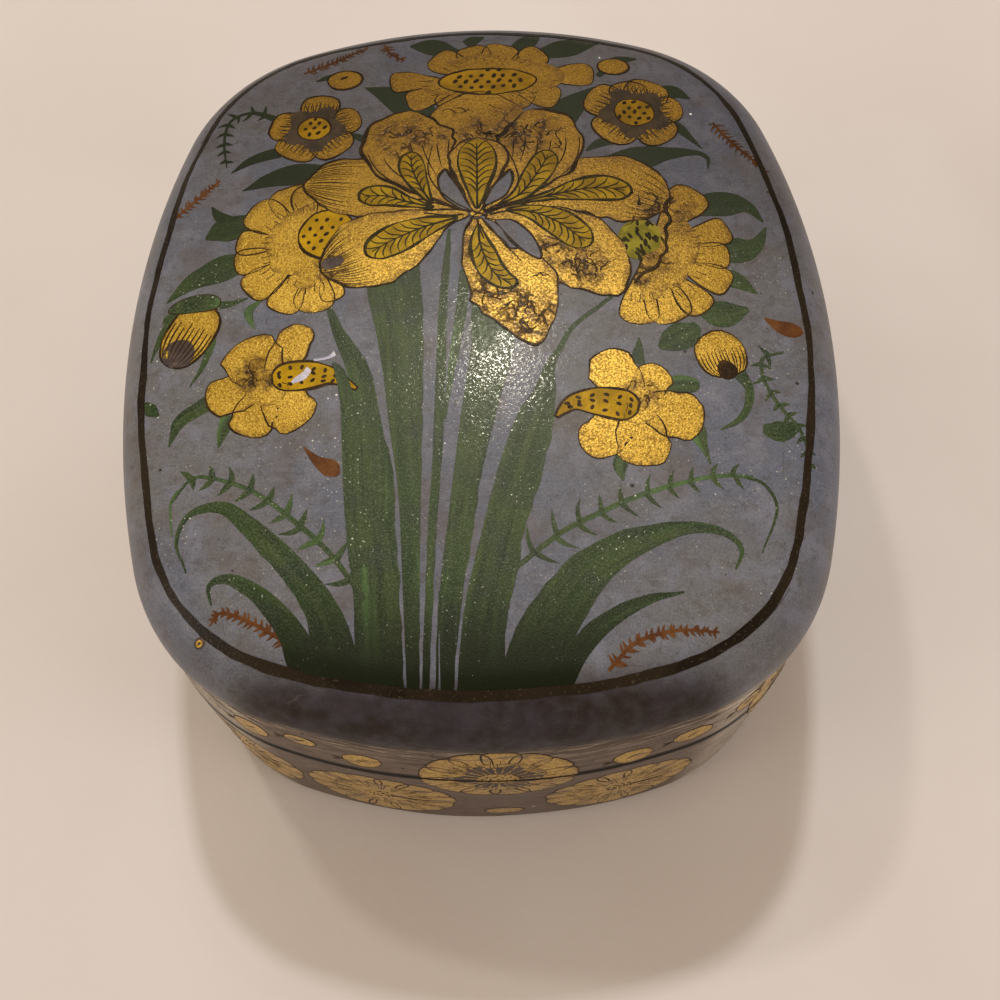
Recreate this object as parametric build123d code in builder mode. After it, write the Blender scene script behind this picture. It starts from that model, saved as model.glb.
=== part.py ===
from build123d import *
import math
import os

os.makedirs("parts", exist_ok=True)

# Kashmiri papier-mache box: a domed lid that slips over an inner collar.
# Millimetres. +Z is up, +Y runs along the longer side, and the origin is the
# middle of the underside, on the table.

# ---- plan of the box, at its widest ----
half_width = 60.0            # from the middle to a long side, along X
half_length = 70.5           # from the middle to an end, along Y
side_radius = 160.0          # bow of the two long sides
end_radius = 104.0           # bow of the two ends
corner_radius = 33.5         # the big rounded corners between them

# ---- heights ----
base_height = 35.0           # rim of the base above the table
lid_wall_height = 14.0       # strip round the lid, from the base's rim to the crown
ply_edge_height = 3.0        # cut edge of the crown's paper layers
crown_side_height = 12.6     # from the crown's lower lip up to where the top turns over
dome_rise_side = 2.6         # rise of the top from the long sides to the middle
dome_rise_end = 3.0          # rise of the top from the ends to the middle
collar_stand = 8.0           # how far the collar stands above the base's rim

# ---- thicknesses of the pressed paper ----
floor_thickness = 4.0
wall_thickness = 2.8
crown_thickness = 3.0
collar_thickness = 1.8

# ---- how the walls stand ----
seam_inset = 0.2             # both walls, where they meet, behind the crown's widest line
lid_wall_draft = 4.0         # degrees the lid's wall leans in, going up
base_wall_draft = 2.2        # degrees the base's wall leans in, going down
ply_inset = 1.6              # the crown's cut edge, behind its widest line
ceiling_inset = 4.6          # inside of the crown, behind its widest line

# ---- edges ----
shoulder_radius = 10.0       # rolled shoulder round the top
lip_radius = 1.1             # lower lip of the crown
foot_radius = 3.2            # rounded foot, at the table
rim_radius = 0.4             # rims of lid and base, worn round
collar_lead_in = 0.8         # bevel that guides the lid over the collar

# ---- fits ----
slip_clearance = 0.35        # between the collar and the inside of the lid
glue_gap = 0.1               # paste between the collar and the base's wall

# ---- worked out from the sizes above ----
crown_bottom = base_height + lid_wall_height
lip_height = crown_bottom + ply_edge_height
crown_top = lip_height + crown_side_height + max(dome_rise_side, dome_rise_end)
base_wall_height = base_height - floor_thickness
collar_height = base_wall_height + collar_stand
wall_inner_inset = seam_inset + wall_thickness
collar_outer_inset = wall_inner_inset + slip_clearance
collar_inner_inset = collar_outer_inset + collar_thickness
base_inner_inset = collar_outer_inset - glue_gap
floor_top_inset = seam_inset + base_wall_height * math.tan(math.radians(base_wall_draft))
foot_inset = floor_top_inset + floor_thickness * math.tan(math.radians(base_wall_draft))
lid_wall_top_inset = seam_inset + lid_wall_height * math.tan(math.radians(lid_wall_draft))
side_run = half_width - shoulder_radius
end_run = half_length - shoulder_radius
dome_side_radius = (side_run**2 + dome_rise_side**2) / (2 * dome_rise_side)
dome_end_radius = (end_run**2 + dome_rise_end**2) / (2 * dome_rise_end)
dome_sweep = 4 * math.degrees(math.asin(half_width / dome_side_radius))


def outline(height, inset):
    """Draw the box's plan at a height, moved in by a parallel distance.

    Two long bows and two end bows overlap, and their corners are rounded off. Moving
    the plan in keeps every centre and takes the inset off every radius.
    """
    with BuildSketch(Plane.XY.offset(height)) as drawn:
        with Locations((half_width - side_radius, 0)):
            Circle(side_radius - inset)
        with Locations((side_radius - half_width, 0)):
            Circle(side_radius - inset, mode=Mode.INTERSECT)
        with Locations((0, half_length - end_radius)):
            Circle(end_radius - inset, mode=Mode.INTERSECT)
        with Locations((0, end_radius - half_length)):
            Circle(end_radius - inset, mode=Mode.INTERSECT)
        fillet(drawn.vertices(), radius=corner_radius - inset)
    return drawn.sketch


def domed_block(depth):
    """Make a block under the domed skin, or under a surface that far below it."""
    side_arc = dome_side_radius - depth
    end_arc = dome_end_radius - depth
    axis_height = crown_top - dome_side_radius
    tilt = math.radians(dome_sweep / 2)
    arch = Plane(
        origin=(0, 0, axis_height), x_dir=(0, 1, 0), z_dir=(math.cos(tilt), 0, math.sin(tilt))
    )
    with BuildPart() as block:
        with BuildSketch(arch):
            with Locations((0, side_arc - end_arc)):
                Circle(end_arc)
            with Locations((0, side_arc)):
                Rectangle(4 * half_length, 2 * crown_top, mode=Mode.INTERSECT)
        revolve(axis=Axis((0, 0, axis_height), (0, 1, 0)), revolution_arc=dome_sweep)
    return block.part


# ---- floor of the base: a pressed board with a rounded foot ----
with BuildPart() as base_floor:
    loft([outline(0, foot_inset), outline(floor_thickness, floor_top_inset)])
    fillet(base_floor.edges().group_by(Axis.Z)[0], radius=foot_radius)

base_floor.part.label = "base_floor"
export_step(base_floor.part, "parts/base_floor.step")

# ---- wall of the base: a strip that stands on the floor's edge and leans out ----
with BuildPart() as base_wall:
    loft([outline(floor_thickness, floor_top_inset), outline(base_height, seam_inset)])
    bore = outline(floor_thickness, base_inner_inset)
    extrude(bore, amount=base_wall_height, mode=Mode.SUBTRACT)
    rim = base_wall.faces().sort_by(Axis.Z)[-1]
    fillet(rim.outer_wire().edges(), radius=rim_radius)

base_wall.part.label = "base_wall"
export_step(base_wall.part, "parts/base_wall.step")

# ---- collar: pasted inside the base, it stands proud and carries the lid's wall ----
with BuildPart() as base_collar:
    extrude(outline(floor_thickness, collar_outer_inset), amount=collar_height)
    bore = outline(floor_thickness, collar_inner_inset)
    extrude(bore, amount=collar_height, mode=Mode.SUBTRACT)
    mouth = base_collar.faces().sort_by(Axis.Z)[-1]
    chamfer(mouth.outer_wire().edges(), length=collar_lead_in)

base_collar.part.label = "base_collar"
export_step(base_collar.part, "parts/base_collar.step")

# ---- wall of the lid: a strip pasted under the crown, leaning in as it rises ----
with BuildPart() as lid_wall:
    loft([outline(base_height, seam_inset), outline(crown_bottom, lid_wall_top_inset)])
    bore = outline(base_height, wall_inner_inset)
    extrude(bore, amount=lid_wall_height, mode=Mode.SUBTRACT)
    rim = lid_wall.faces().sort_by(Axis.Z)[0]
    fillet(rim.outer_wire().edges(), radius=rim_radius)

lid_wall.part.label = "lid_wall"
export_step(lid_wall.part, "parts/lid_wall.step")

# ---- the hollow under the crown, parallel to its skin ----
with BuildPart() as ceiling:
    extrude(outline(crown_bottom, ceiling_inset), amount=2 * crown_side_height)
    add(domed_block(crown_thickness), mode=Mode.INTERSECT)
    fillet(
        ceiling.faces().sort_by(Axis.Z)[-1].edges(),
        radius=shoulder_radius - crown_thickness,
    )

# ---- crown of the lid: domed top, rolled shoulder, soft lip and cut paper edge ----
with BuildPart() as lid_crown:
    extrude(outline(lip_height, 0), amount=2 * crown_side_height)
    add(domed_block(0), mode=Mode.INTERSECT)
    fillet(lid_crown.faces().sort_by(Axis.Z)[-1].edges(), radius=shoulder_radius)
    fillet(lid_crown.edges().group_by(Axis.Z)[0], radius=lip_radius)
    extrude(outline(crown_bottom, ply_inset), amount=ply_edge_height)
    add(ceiling.part, mode=Mode.SUBTRACT)

lid_crown.part.label = "lid_crown"
export_step(lid_crown.part, "parts/lid_crown.step")
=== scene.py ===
import math
import random

import bmesh
import bpy
import numpy as np
from mathutils import Matrix, Vector, noise


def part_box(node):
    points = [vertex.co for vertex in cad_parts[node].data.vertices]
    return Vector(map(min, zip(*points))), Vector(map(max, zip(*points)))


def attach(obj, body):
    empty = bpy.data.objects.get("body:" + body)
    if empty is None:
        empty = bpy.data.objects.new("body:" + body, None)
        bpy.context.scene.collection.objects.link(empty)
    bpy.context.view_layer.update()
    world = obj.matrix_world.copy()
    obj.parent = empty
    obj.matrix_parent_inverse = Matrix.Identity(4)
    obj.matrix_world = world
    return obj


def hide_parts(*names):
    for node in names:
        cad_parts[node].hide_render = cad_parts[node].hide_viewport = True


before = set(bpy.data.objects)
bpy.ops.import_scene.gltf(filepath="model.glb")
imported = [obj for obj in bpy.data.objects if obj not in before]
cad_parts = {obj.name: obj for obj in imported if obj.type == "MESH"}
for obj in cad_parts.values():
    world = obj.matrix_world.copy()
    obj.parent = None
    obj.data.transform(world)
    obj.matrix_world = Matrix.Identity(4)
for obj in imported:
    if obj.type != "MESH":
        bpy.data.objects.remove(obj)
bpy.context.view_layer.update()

# A Kashmiri papier-mache box. The shells are pressed paper under gesso and a slate-lavender
# paint. Flowers in gold paint and leaves in dark green are brushed on top, outlined in brown
# ink, and the whole is varnished. Lengths are millimetres until a mesh is made.

MM = 0.001
random.seed(7)

# ---- sizes of the shells: the same construction as the solids in the frame ----
(crown_low, crown_high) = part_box("lid_crown")
(base_low, base_high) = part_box("base_wall")
half_width = crown_high[0] / MM
half_length = crown_high[1] / MM
crown_top = crown_high[2] / MM
crown_bottom = crown_low[2] / MM
base_height = base_high[2] / MM
floor_thickness = base_low[2] / MM
collar_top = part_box("base_collar")[1][2] / MM
side_radius = 160.0
end_radius = 104.0
corner_radius = 33.5
dome_rise_side = 2.6
dome_rise_end = 3.0
crown_thickness = 3.0
wall_thickness = 2.8
collar_thickness = 1.8
seam_inset = 0.2
lid_wall_lean = math.tan(math.radians(4.0))
base_wall_lean = math.tan(math.radians(2.2))
ply_inset = 1.6
ply_edge_height = 3.0
ceiling_inset = 4.6
shoulder_radius = 10.0
lip_radius = 1.1
foot_radius = 3.2
rim_radius = 0.4
slip_clearance = 0.35
glue_gap = 0.1

lip_height = crown_bottom + ply_edge_height
wall_inner_inset = seam_inset + wall_thickness
collar_inset = wall_inner_inset + slip_clearance
side_run = half_width - shoulder_radius
end_run = half_length - shoulder_radius
dome_side_radius = (side_run**2 + dome_rise_side**2) / (2 * dome_rise_side)
dome_end_radius = (end_run**2 + dome_rise_end**2) / (2 * dome_rise_end)

sharp_angle = math.radians(38)
around_count = 720           # points round each shell, about 0.6 mm apart
paint_lift = 0.03            # how far the lowest paint stands off the ground
coat_lift = 0.004            # how much more each coat laid over it stands off
paint_depth = 0.22           # how deep a slip of paint reaches down from its skin
wave_sink = 0.16             # keeps the waves of the hand-smoothed lid under its true dome
floor_sink = 0.17            # the same for the waves of the underside
underside_hollow = 0.34      # the box stands on its foot, clear of the middle
lip_settle = 0.06            # how far the soft lip stands back, so that it stays under the true one
border_inset = 5.5           # how far in from the widest plan the border line runs


# ---------------------------------------------------------------- the plan
def corner_centre():
    """Centre of the rounded corner that touches a side bow and an end bow."""
    side = np.array([half_width - side_radius, 0.0])
    end = np.array([0.0, half_length - end_radius])
    from_side = side_radius - corner_radius
    from_end = end_radius - corner_radius
    apart = end - side
    gap = np.hypot(*apart)
    along = (gap**2 + from_side**2 - from_end**2) / (2 * gap)
    across = math.sqrt(from_side**2 - along**2)
    unit = apart / gap
    return side + unit * along + np.array([-unit[1], unit[0]]) * across


CORNER = corner_centre()
SIDE_TURN = math.atan2(CORNER[1], CORNER[0] + side_radius - half_width)
END_TURN = math.atan2(CORNER[1] + end_radius - half_length, CORNER[0])


def plan_bearings():
    """Bearings where one arc of the plan hands over to the next, and the lengths to there."""
    turns = [SIDE_TURN, END_TURN, math.pi - END_TURN, math.pi - SIDE_TURN]
    turns = turns + [math.pi + t for t in turns]
    turns = [t - 2 * math.pi if t > 1.5 * math.pi else t for t in turns]
    turns = sorted(turns + [-math.pi / 2, 1.5 * math.pi])
    lengths = [0.0]
    for start, stop in zip(turns, turns[1:]):
        _, _, radius = plan_arc(np.array([(start + stop) / 2]))
        lengths.append(lengths[-1] + radius[0] * (stop - start))
    return np.array(turns), np.array(lengths)


def plan_arc(bearing):
    """Centre and radius of the arc whose outward direction is that bearing."""
    east, north = np.cos(bearing), np.sin(bearing)
    fold = np.arctan2(np.abs(north), np.abs(east))
    on_side, on_end = fold < SIDE_TURN, fold > END_TURN
    x = np.where(on_side, half_width - side_radius, np.where(on_end, 0.0, CORNER[0]))
    y = np.where(on_side, 0.0, np.where(on_end, half_length - end_radius, CORNER[1]))
    radius = np.where(on_side, side_radius, np.where(on_end, end_radius, corner_radius))
    return x * np.sign(east), y * np.sign(north), radius


def plan_at(bearing, inset):
    """Point of the plan in that direction, moved in by a parallel distance."""
    x, y, radius = plan_arc(bearing)
    reach = radius - inset
    return x + reach * np.cos(bearing), y + reach * np.sin(bearing)


BEARINGS, LENGTHS = plan_bearings()
perimeter = LENGTHS[-1]


def bearing_of(walk):
    """Bearing after walking that far round the box from the middle of the near end."""
    return np.interp(np.mod(walk, perimeter), LENGTHS, BEARINGS)


def inset_of(x, y):
    """How far inside the widest plan a point is, and which way is out."""
    east, north = np.abs(x), np.abs(y)
    side = np.stack([east - (half_width - side_radius), north])
    end = np.stack([east, north - (half_length - end_radius)])
    corner = np.stack([east - CORNER[0], north - CORNER[1]])
    turn = np.arctan2(corner[1], corner[0])
    spans = [np.hypot(*side), np.hypot(*end), np.hypot(*corner)]
    insets = [side_radius - spans[0], end_radius - spans[1], corner_radius - spans[2]]
    in_corner = (turn > SIDE_TURN) & (turn < END_TURN) & (corner.max(axis=0) > 0)
    near_side = insets[0] < insets[1]
    inset = np.where(in_corner, insets[2], np.where(near_side, insets[0], insets[1]))
    out = []
    for axis, sign in ((0, np.sign(x)), (1, np.sign(y))):
        way = np.where(near_side, side[axis] / spans[0], end[axis] / spans[1])
        out.append(sign * np.where(in_corner, corner[axis] / np.maximum(spans[2], 1e-6), way))
    return inset, out[0], out[1]


# ---------------------------------------------------------------- the surfaces
def dome_height(x, y):
    """Height of the domed top, before its edge is rolled over."""
    reach = dome_side_radius - dome_end_radius + np.sqrt(dome_end_radius**2 - y**2)
    return crown_top - dome_side_radius + np.sqrt(np.maximum(reach**2 - x**2, 0.0))


def rolled_height(x, y, edge_inset, roll, drop):
    """Height of the dome with its edge rolled down, a given depth under the skin."""
    inset, out_x, out_y = inset_of(x, y)
    inside = inset - edge_inset
    step = 0.5
    move = inside - roll
    foot_x, foot_y = x + out_x * move, y + out_y * move
    fall = dome_height(foot_x, foot_y)
    fall = (fall - dome_height(foot_x + out_x * step, foot_y + out_y * step)) / step
    slope = np.arctan(fall)
    tangent = roll * (1 - np.sin(slope))
    move = inside - tangent
    centre = dome_height(x + out_x * move, y + out_y * move) - drop - roll * np.cos(slope)
    rolled = centre + np.sqrt(np.maximum(roll**2 - (roll - inside) ** 2, 0.0))
    return np.where(inside < tangent, rolled, dome_height(x, y) - drop)


def unevenness(x, y):
    """Slow waves that a hand-smoothed surface keeps."""
    slow = np.sin(x / 17 + 1.3) * np.sin(y / 21 + 0.4)
    quick = np.sin(x / 7.1 + y / 11.3) * np.sin(y / 8.3 - x / 13.7 + 2.0)
    return 0.12 * slow + 0.035 * quick


def crown_height(x, y):
    """The lid's outer skin, as it was smoothed by hand."""
    inset, _, _ = inset_of(x, y)
    settle = np.clip(inset / shoulder_radius, 0.0, 1.0)
    waves = (unevenness(x, y) - wave_sink) * settle
    return rolled_height(x, y, 0.0, shoulder_radius, 0.0) + waves


def on_crown(x, y, lift):
    """Lay flat points on the top of the lid, lifted off it by a little."""
    step = 0.05
    slope_x = (crown_height(x + step, y) - crown_height(x - step, y)) / (2 * step)
    slope_y = (crown_height(x, y + step) - crown_height(x, y - step)) / (2 * step)
    length = np.sqrt(slope_x**2 + slope_y**2 + 1)
    points = [x - slope_x / length * lift, y - slope_y / length * lift]
    return np.stack(points + [crown_height(x, y) + lift / length], axis=-1)


def wall_inset(height):
    """How far the walls stand behind the crown's widest line, at a height."""
    above = seam_inset + (height - base_height) * lid_wall_lean
    below = seam_inset + (base_height - height) * base_wall_lean
    drop = np.clip(foot_radius - height, 0.0, foot_radius)
    foot = foot_radius - np.sqrt(foot_radius**2 - drop**2)
    return np.where(height > base_height, above, below + foot)


def wall_wave(walk, height):
    """Slow waves of the hand-rasped walls, which sink into them and never stand out."""
    wave = np.sin(walk * 2 * math.pi * 9 / perimeter + height / 13)
    wave = wave * np.sin(walk * 2 * math.pi * 4 / perimeter + 1.0)
    return 0.12 + 0.10 * wave


def on_wall(walk, height, lift):
    """Lay flat points, measured round and up, on the walls."""
    bearing = bearing_of(walk)
    x, y = plan_at(bearing, wall_inset(height) + wall_wave(walk, height) - lift)
    return np.stack([x, y, height], axis=-1)


# ---------------------------------------------------------------- meshes
def make_mesh(name, points, faces, body, finish, layers=None):
    """Make a piece from points in millimetres, with its finish, and tie it to its body."""
    mesh = bpy.data.meshes.new(name)
    mesh.from_pydata((np.asarray(points) * MM).tolist(), [], faces)
    for layer, values in (layers or {}).items():
        data = mesh.attributes.new(layer, "FLOAT_VECTOR", "POINT")
        data.data.foreach_set("vector", np.asarray(values, dtype=np.float32).ravel())
    mesh.shade_smooth()
    mesh.set_sharp_from_angle(angle=sharp_angle)
    mesh.materials.append(finish)
    mesh.validate()
    piece = bpy.data.objects.new(name, mesh)
    bpy.context.scene.collection.objects.link(piece)
    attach(piece, body)
    return piece


def loft(rows, closed=False):
    """Skin a stack of rings. A row of one point is a pole, and a closed stack joins its ends."""
    points, starts = [], []
    for row in rows:
        starts.append(len(points))
        points.extend(row.tolist())
    faces = []
    pairs = list(zip(range(len(rows) - 1), range(1, len(rows))))
    if closed:
        pairs.append((len(rows) - 1, 0))
    for low, high in pairs:
        a, b = starts[low], starts[high]
        for i in range(around_count):
            j = (i + 1) % around_count
            if len(rows[low]) == 1:
                faces.append((a, b + i, b + j))
            elif len(rows[high]) == 1:
                faces.append((a + i, b, a + j))
            else:
                faces.append((a + i, b + i, b + j, a + j))
    return points, faces


# the same places round the box for every shell, as walks from the near end and as bearings
WALKS = np.linspace(0, perimeter, around_count, endpoint=False)
AROUND = bearing_of(WALKS)


def ring(inset, height):
    """A ring of the plan at an inset, level, uneven or lying on a surface given by its height."""
    x, y = plan_at(AROUND, inset)
    height = height(x, y) if callable(height) else height
    return np.stack([x, y, np.broadcast_to(height, x.shape)], axis=-1)


def cap_rows(edge, height_at, count):
    """Rings that close a flat or domed middle, from its centre out to an edge ring."""
    rows = [np.array([[0.0, 0.0, float(height_at(np.zeros(1), np.zeros(1))[0])]])]
    for share in np.linspace(0, 1, count + 1)[1:-1]:
        x, y = edge[:, 0] * share, edge[:, 1] * share
        rows.append(np.stack([x, y, height_at(x, y)], axis=-1))
    return rows


def layered_edge(height, depth, band):
    """Uneven depth of torn and cut paper layers, as an inset at each point round the box."""
    values = []
    coarseness = 9             # how often the edge turns uneven on its way round
    for bearing in AROUND:
        spot = (math.cos(bearing) * coarseness, math.sin(bearing) * coarseness, height / band)
        values.append(noise.noise(spot))
    return depth * np.array(values)


def dents(height, spots):
    """Small chips knocked out of an edge: each by its walk, height, width, tallness and depth."""
    total = np.zeros(around_count)
    for walk, level, width, tall, depth in spots:
        away = np.abs(np.mod(WALKS - walk + perimeter / 2, perimeter) - perimeter / 2)
        hit = (away / width) ** 2 + ((height - level) / tall) ** 2
        total += depth * np.exp(-(hit**2))
    return total


# ---------------------------------------------------------------- finishes
def linear(hex_colour):
    """Turn an sRGB hex colour to the linear values that a shader takes."""
    parts = [int(hex_colour[i : i + 2], 16) / 255 for i in (1, 3, 5)]
    bent = [c / 12.92 if c <= 0.04045 else ((c + 0.055) / 1.055) ** 2.4 for c in parts]
    return (*bent, 1.0)


def per_mm(size):
    """Texture scale at which one cell of the pattern is that many millimetres."""
    return 1 / (size * MM)


def add(tree, kind, links=(), out=0, **settings):
    """Add a node, set it up, join or fill its sockets, and hand on one of its outputs."""
    node = tree.nodes.new("ShaderNode" + kind)
    for name, value in settings.items():
        setattr(node, name, value)
    for socket, source in dict(links).items():
        if isinstance(source, bpy.types.NodeSocket):
            tree.links.new(source, node.inputs[socket])
        else:
            node.inputs[socket].default_value = source
    return node.outputs[out] if node.outputs else node


def new_finish(name):
    """Start a finish. Its patterns are measured on the piece itself, in metres."""
    material = bpy.data.materials.new(name)
    material.use_nodes = True
    material.node_tree.nodes.clear()
    return material, material.node_tree, add(material.node_tree, "TexCoord", out="Object")


def seal(tree, colour, skin, varnish=None, **gloss):
    """Close a finish: its colour, the bumps of its skin and varnish, and how it shines."""
    links = {"Base Color": colour, "Normal": skin}
    names = {"specular": "Specular IOR Level"}
    for name, value in gloss.items():
        links[names.get(name, name.replace("_", " ").title())] = value
    links.setdefault("IOR", 1.5)
    if "Coat Weight" in links:
        links["Coat Normal"] = varnish or skin
        links["Coat IOR"] = 1.5
    add(tree, "OutputMaterial", {"Surface": add(tree, "BsdfPrincipled", links)})


def where_all(tree, *amounts):
    """Where several patterns or plain shares hold at once: all of them multiplied."""
    total = amounts[0]
    for amount in amounts[1:]:
        total = add(tree, "Math", {0: total, 1: amount}, operation="MULTIPLY")
    return total


def laid(tree, colour, *coats):
    """Lay coats over a colour in turn: each is its amounts, multiplied, and then its colour."""
    for *amounts, coat in coats:
        under, top = (linear(c) if isinstance(c, str) else c for c in (colour, coat))
        colour = add(tree, "Mix", {0: where_all(tree, *amounts), 6: under, 7: top}, out=2,
                     data_type="RGBA")
    return colour


def raised(tree, *reliefs):
    """A skin raised by patterns, one over another, each so many millimetres at its highest."""
    links = {}
    for pattern, depth in reliefs:
        links.update({"Height": pattern, "Distance": depth * MM})
        links["Normal"] = add(tree, "Bump", links)
    return links["Normal"]


def across(tree, place, axis, start, stop, ease="LINEAR"):
    """A fade along one axis, from none to full between two places in millimetres."""
    reach = add(tree, "SeparateXYZ", {0: place}, out=axis)
    return add(tree, "MapRange", {0: reach, 1: start * MM, 2: stop * MM},
               interpolation_type=ease)


def blotches(tree, place, size, low, high, detail=3.0, squeeze=None):
    """Soft patches of about that many millimetres, from none at low noise to full at high.

    A squeeze below one draws them out along that axis.
    """
    if squeeze:
        place = add(tree, "VectorMath", {0: place, 1: squeeze}, operation="MULTIPLY")
    links = {"Vector": place, "Scale": per_mm(size), "Detail": detail}
    return add(tree, "MapRange", {0: add(tree, "TexNoise", links), 1: low, 2: high},
               interpolation_type="SMOOTHSTEP")


def specks(tree, place, spacing, radius, share):
    """Tiny round grains: where they may sit, how big they are, and the share of places taken."""
    links = {"Vector": place, "Scale": per_mm(spacing)}
    dot = add(tree, "MapRange", {0: add(tree, "TexVoronoi", links), 1: radius / spacing,
                                 2: 0.6 * radius / spacing}, interpolation_type="SMOOTHSTEP")
    pick = add(tree, "SeparateColor", {0: add(tree, "TexVoronoi", links, out="Color")})
    taken = add(tree, "Math", {0: pick, 1: share}, operation="LESS_THAN")
    return where_all(tree, dot, taken)


def cracks(tree, place, size, width):
    """A net of fine cracks that round off islands of that many millimetres."""
    bend = add(tree, "TexNoise", {"Vector": place, "Scale": per_mm(size * 0.8)}, out="Color")
    bent = add(tree, "VectorMath", {0: bend, 1: (size * MM * 1.5,) * 3}, operation="MULTIPLY")
    moved = add(tree, "VectorMath", {0: place, 1: bent}, operation="ADD")
    edge = add(tree, "TexVoronoi", {"Vector": moved, "Scale": per_mm(size)},
               feature="DISTANCE_TO_EDGE")
    return add(tree, "MapRange", {0: edge, 1: width / size, 2: 0.0},
               interpolation_type="SMOOTHSTEP")


def near_any(tree, place, spots):
    """Full close to any of some places on the lid, fading out at each one's reach in mm."""
    total = 0.0
    flat = add(tree, "VectorMath", {0: place, 1: (1, 1, 0)}, operation="MULTIPLY")
    for x, y, reach in spots:
        away = add(tree, "VectorMath", {0: flat, 1: (x * MM, y * MM, 0)}, out="Value",
                   operation="DISTANCE")
        close = add(tree, "MapRange", {0: away, 1: reach * MM, 2: 0.3 * reach * MM},
                    interpolation_type="SMOOTHSTEP")
        total = add(tree, "Math", {0: close, 1: total}, operation="MAXIMUM")
    return total


def shaded_far_end(tree, place, colour, near, far, tint):
    """Darken and brown a colour towards the far right end, as painted shade of the light falling
    off there: from none to full between two places on Y.
    """
    turned = add(tree, "VectorRotate", {"Vector": place, "Angle": math.radians(12)},
                 rotation_type="Z_AXIS")
    north = add(tree, "SeparateXYZ", {0: turned}, out="Y")
    drift = where_all(tree, add(tree, "TexNoise", {"Vector": place, "Scale": per_mm(30.0)}),
                      20 * MM)
    north = add(tree, "Math", {0: north, 1: drift}, operation="ADD")
    far_shade = add(tree, "MapRange", {0: north, 1: (near + 10) * MM, 2: (far + 10) * MM},
               interpolation_type="SMOOTHSTEP")
    return add(tree, "Mix", {0: far_shade, 6: colour, 7: linear(tint)}, out=2, data_type="RGBA",
               blend_type="MULTIPLY")


def dusted_and_glinting(tree, place, colour):
    """Pale specks bedded in the lid's varnish: fine grains in a drift over the near half of the
    top, where the glare falls, which are partly dust and partly painted glints, and a few coarse
    ones of dust.

    Real dust is finer than this. It is drawn as coarse as it needs to be to show.
    """
    # the drift lies where the glare falls: its fine grains are partly dust, partly painted glints
    drift = where_all(
        tree, blotches(tree, place, 9.0, 0.42, 0.60, 5.0), across(tree, place, "Z", 61.5, 63.5),
        across(tree, place, "Y", -62, -46), across(tree, place, "Y", 24, 0))
    return laid(tree, colour,
                (specks(tree, place, 0.65, 0.14, 0.35), drift, "#a5a696"),
                (specks(tree, place, 1.7, 0.18, 0.30), drift, "#c6c8b8"),
                (specks(tree, place, 7.5, 0.30, 0.30), "#e2dfd6"))


def dusty_varnish(tree, place):
    """The skin of the varnish: a fine ripple, and grains under it that glint."""
    return raised(tree, (blotches(tree, place, 0.8, 0.25, 0.75), 0.014),
                  (specks(tree, place, 1.3, 0.34, 0.4), 0.03))


def broken_gloss(tree, place, low, high):
    """How much varnish is left: glassy flecks with dulled varnish between them.

    The flecks are drawn a few times coarser than real, so that they show.
    """
    left = where_all(tree, blotches(tree, place, 0.40, 0.52, 0.60, 4.0),
                     blotches(tree, place, 6.0, 0.35, 0.60, 4.0))
    return add(tree, "MapRange", {0: left, 3: low, 4: high})


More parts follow.
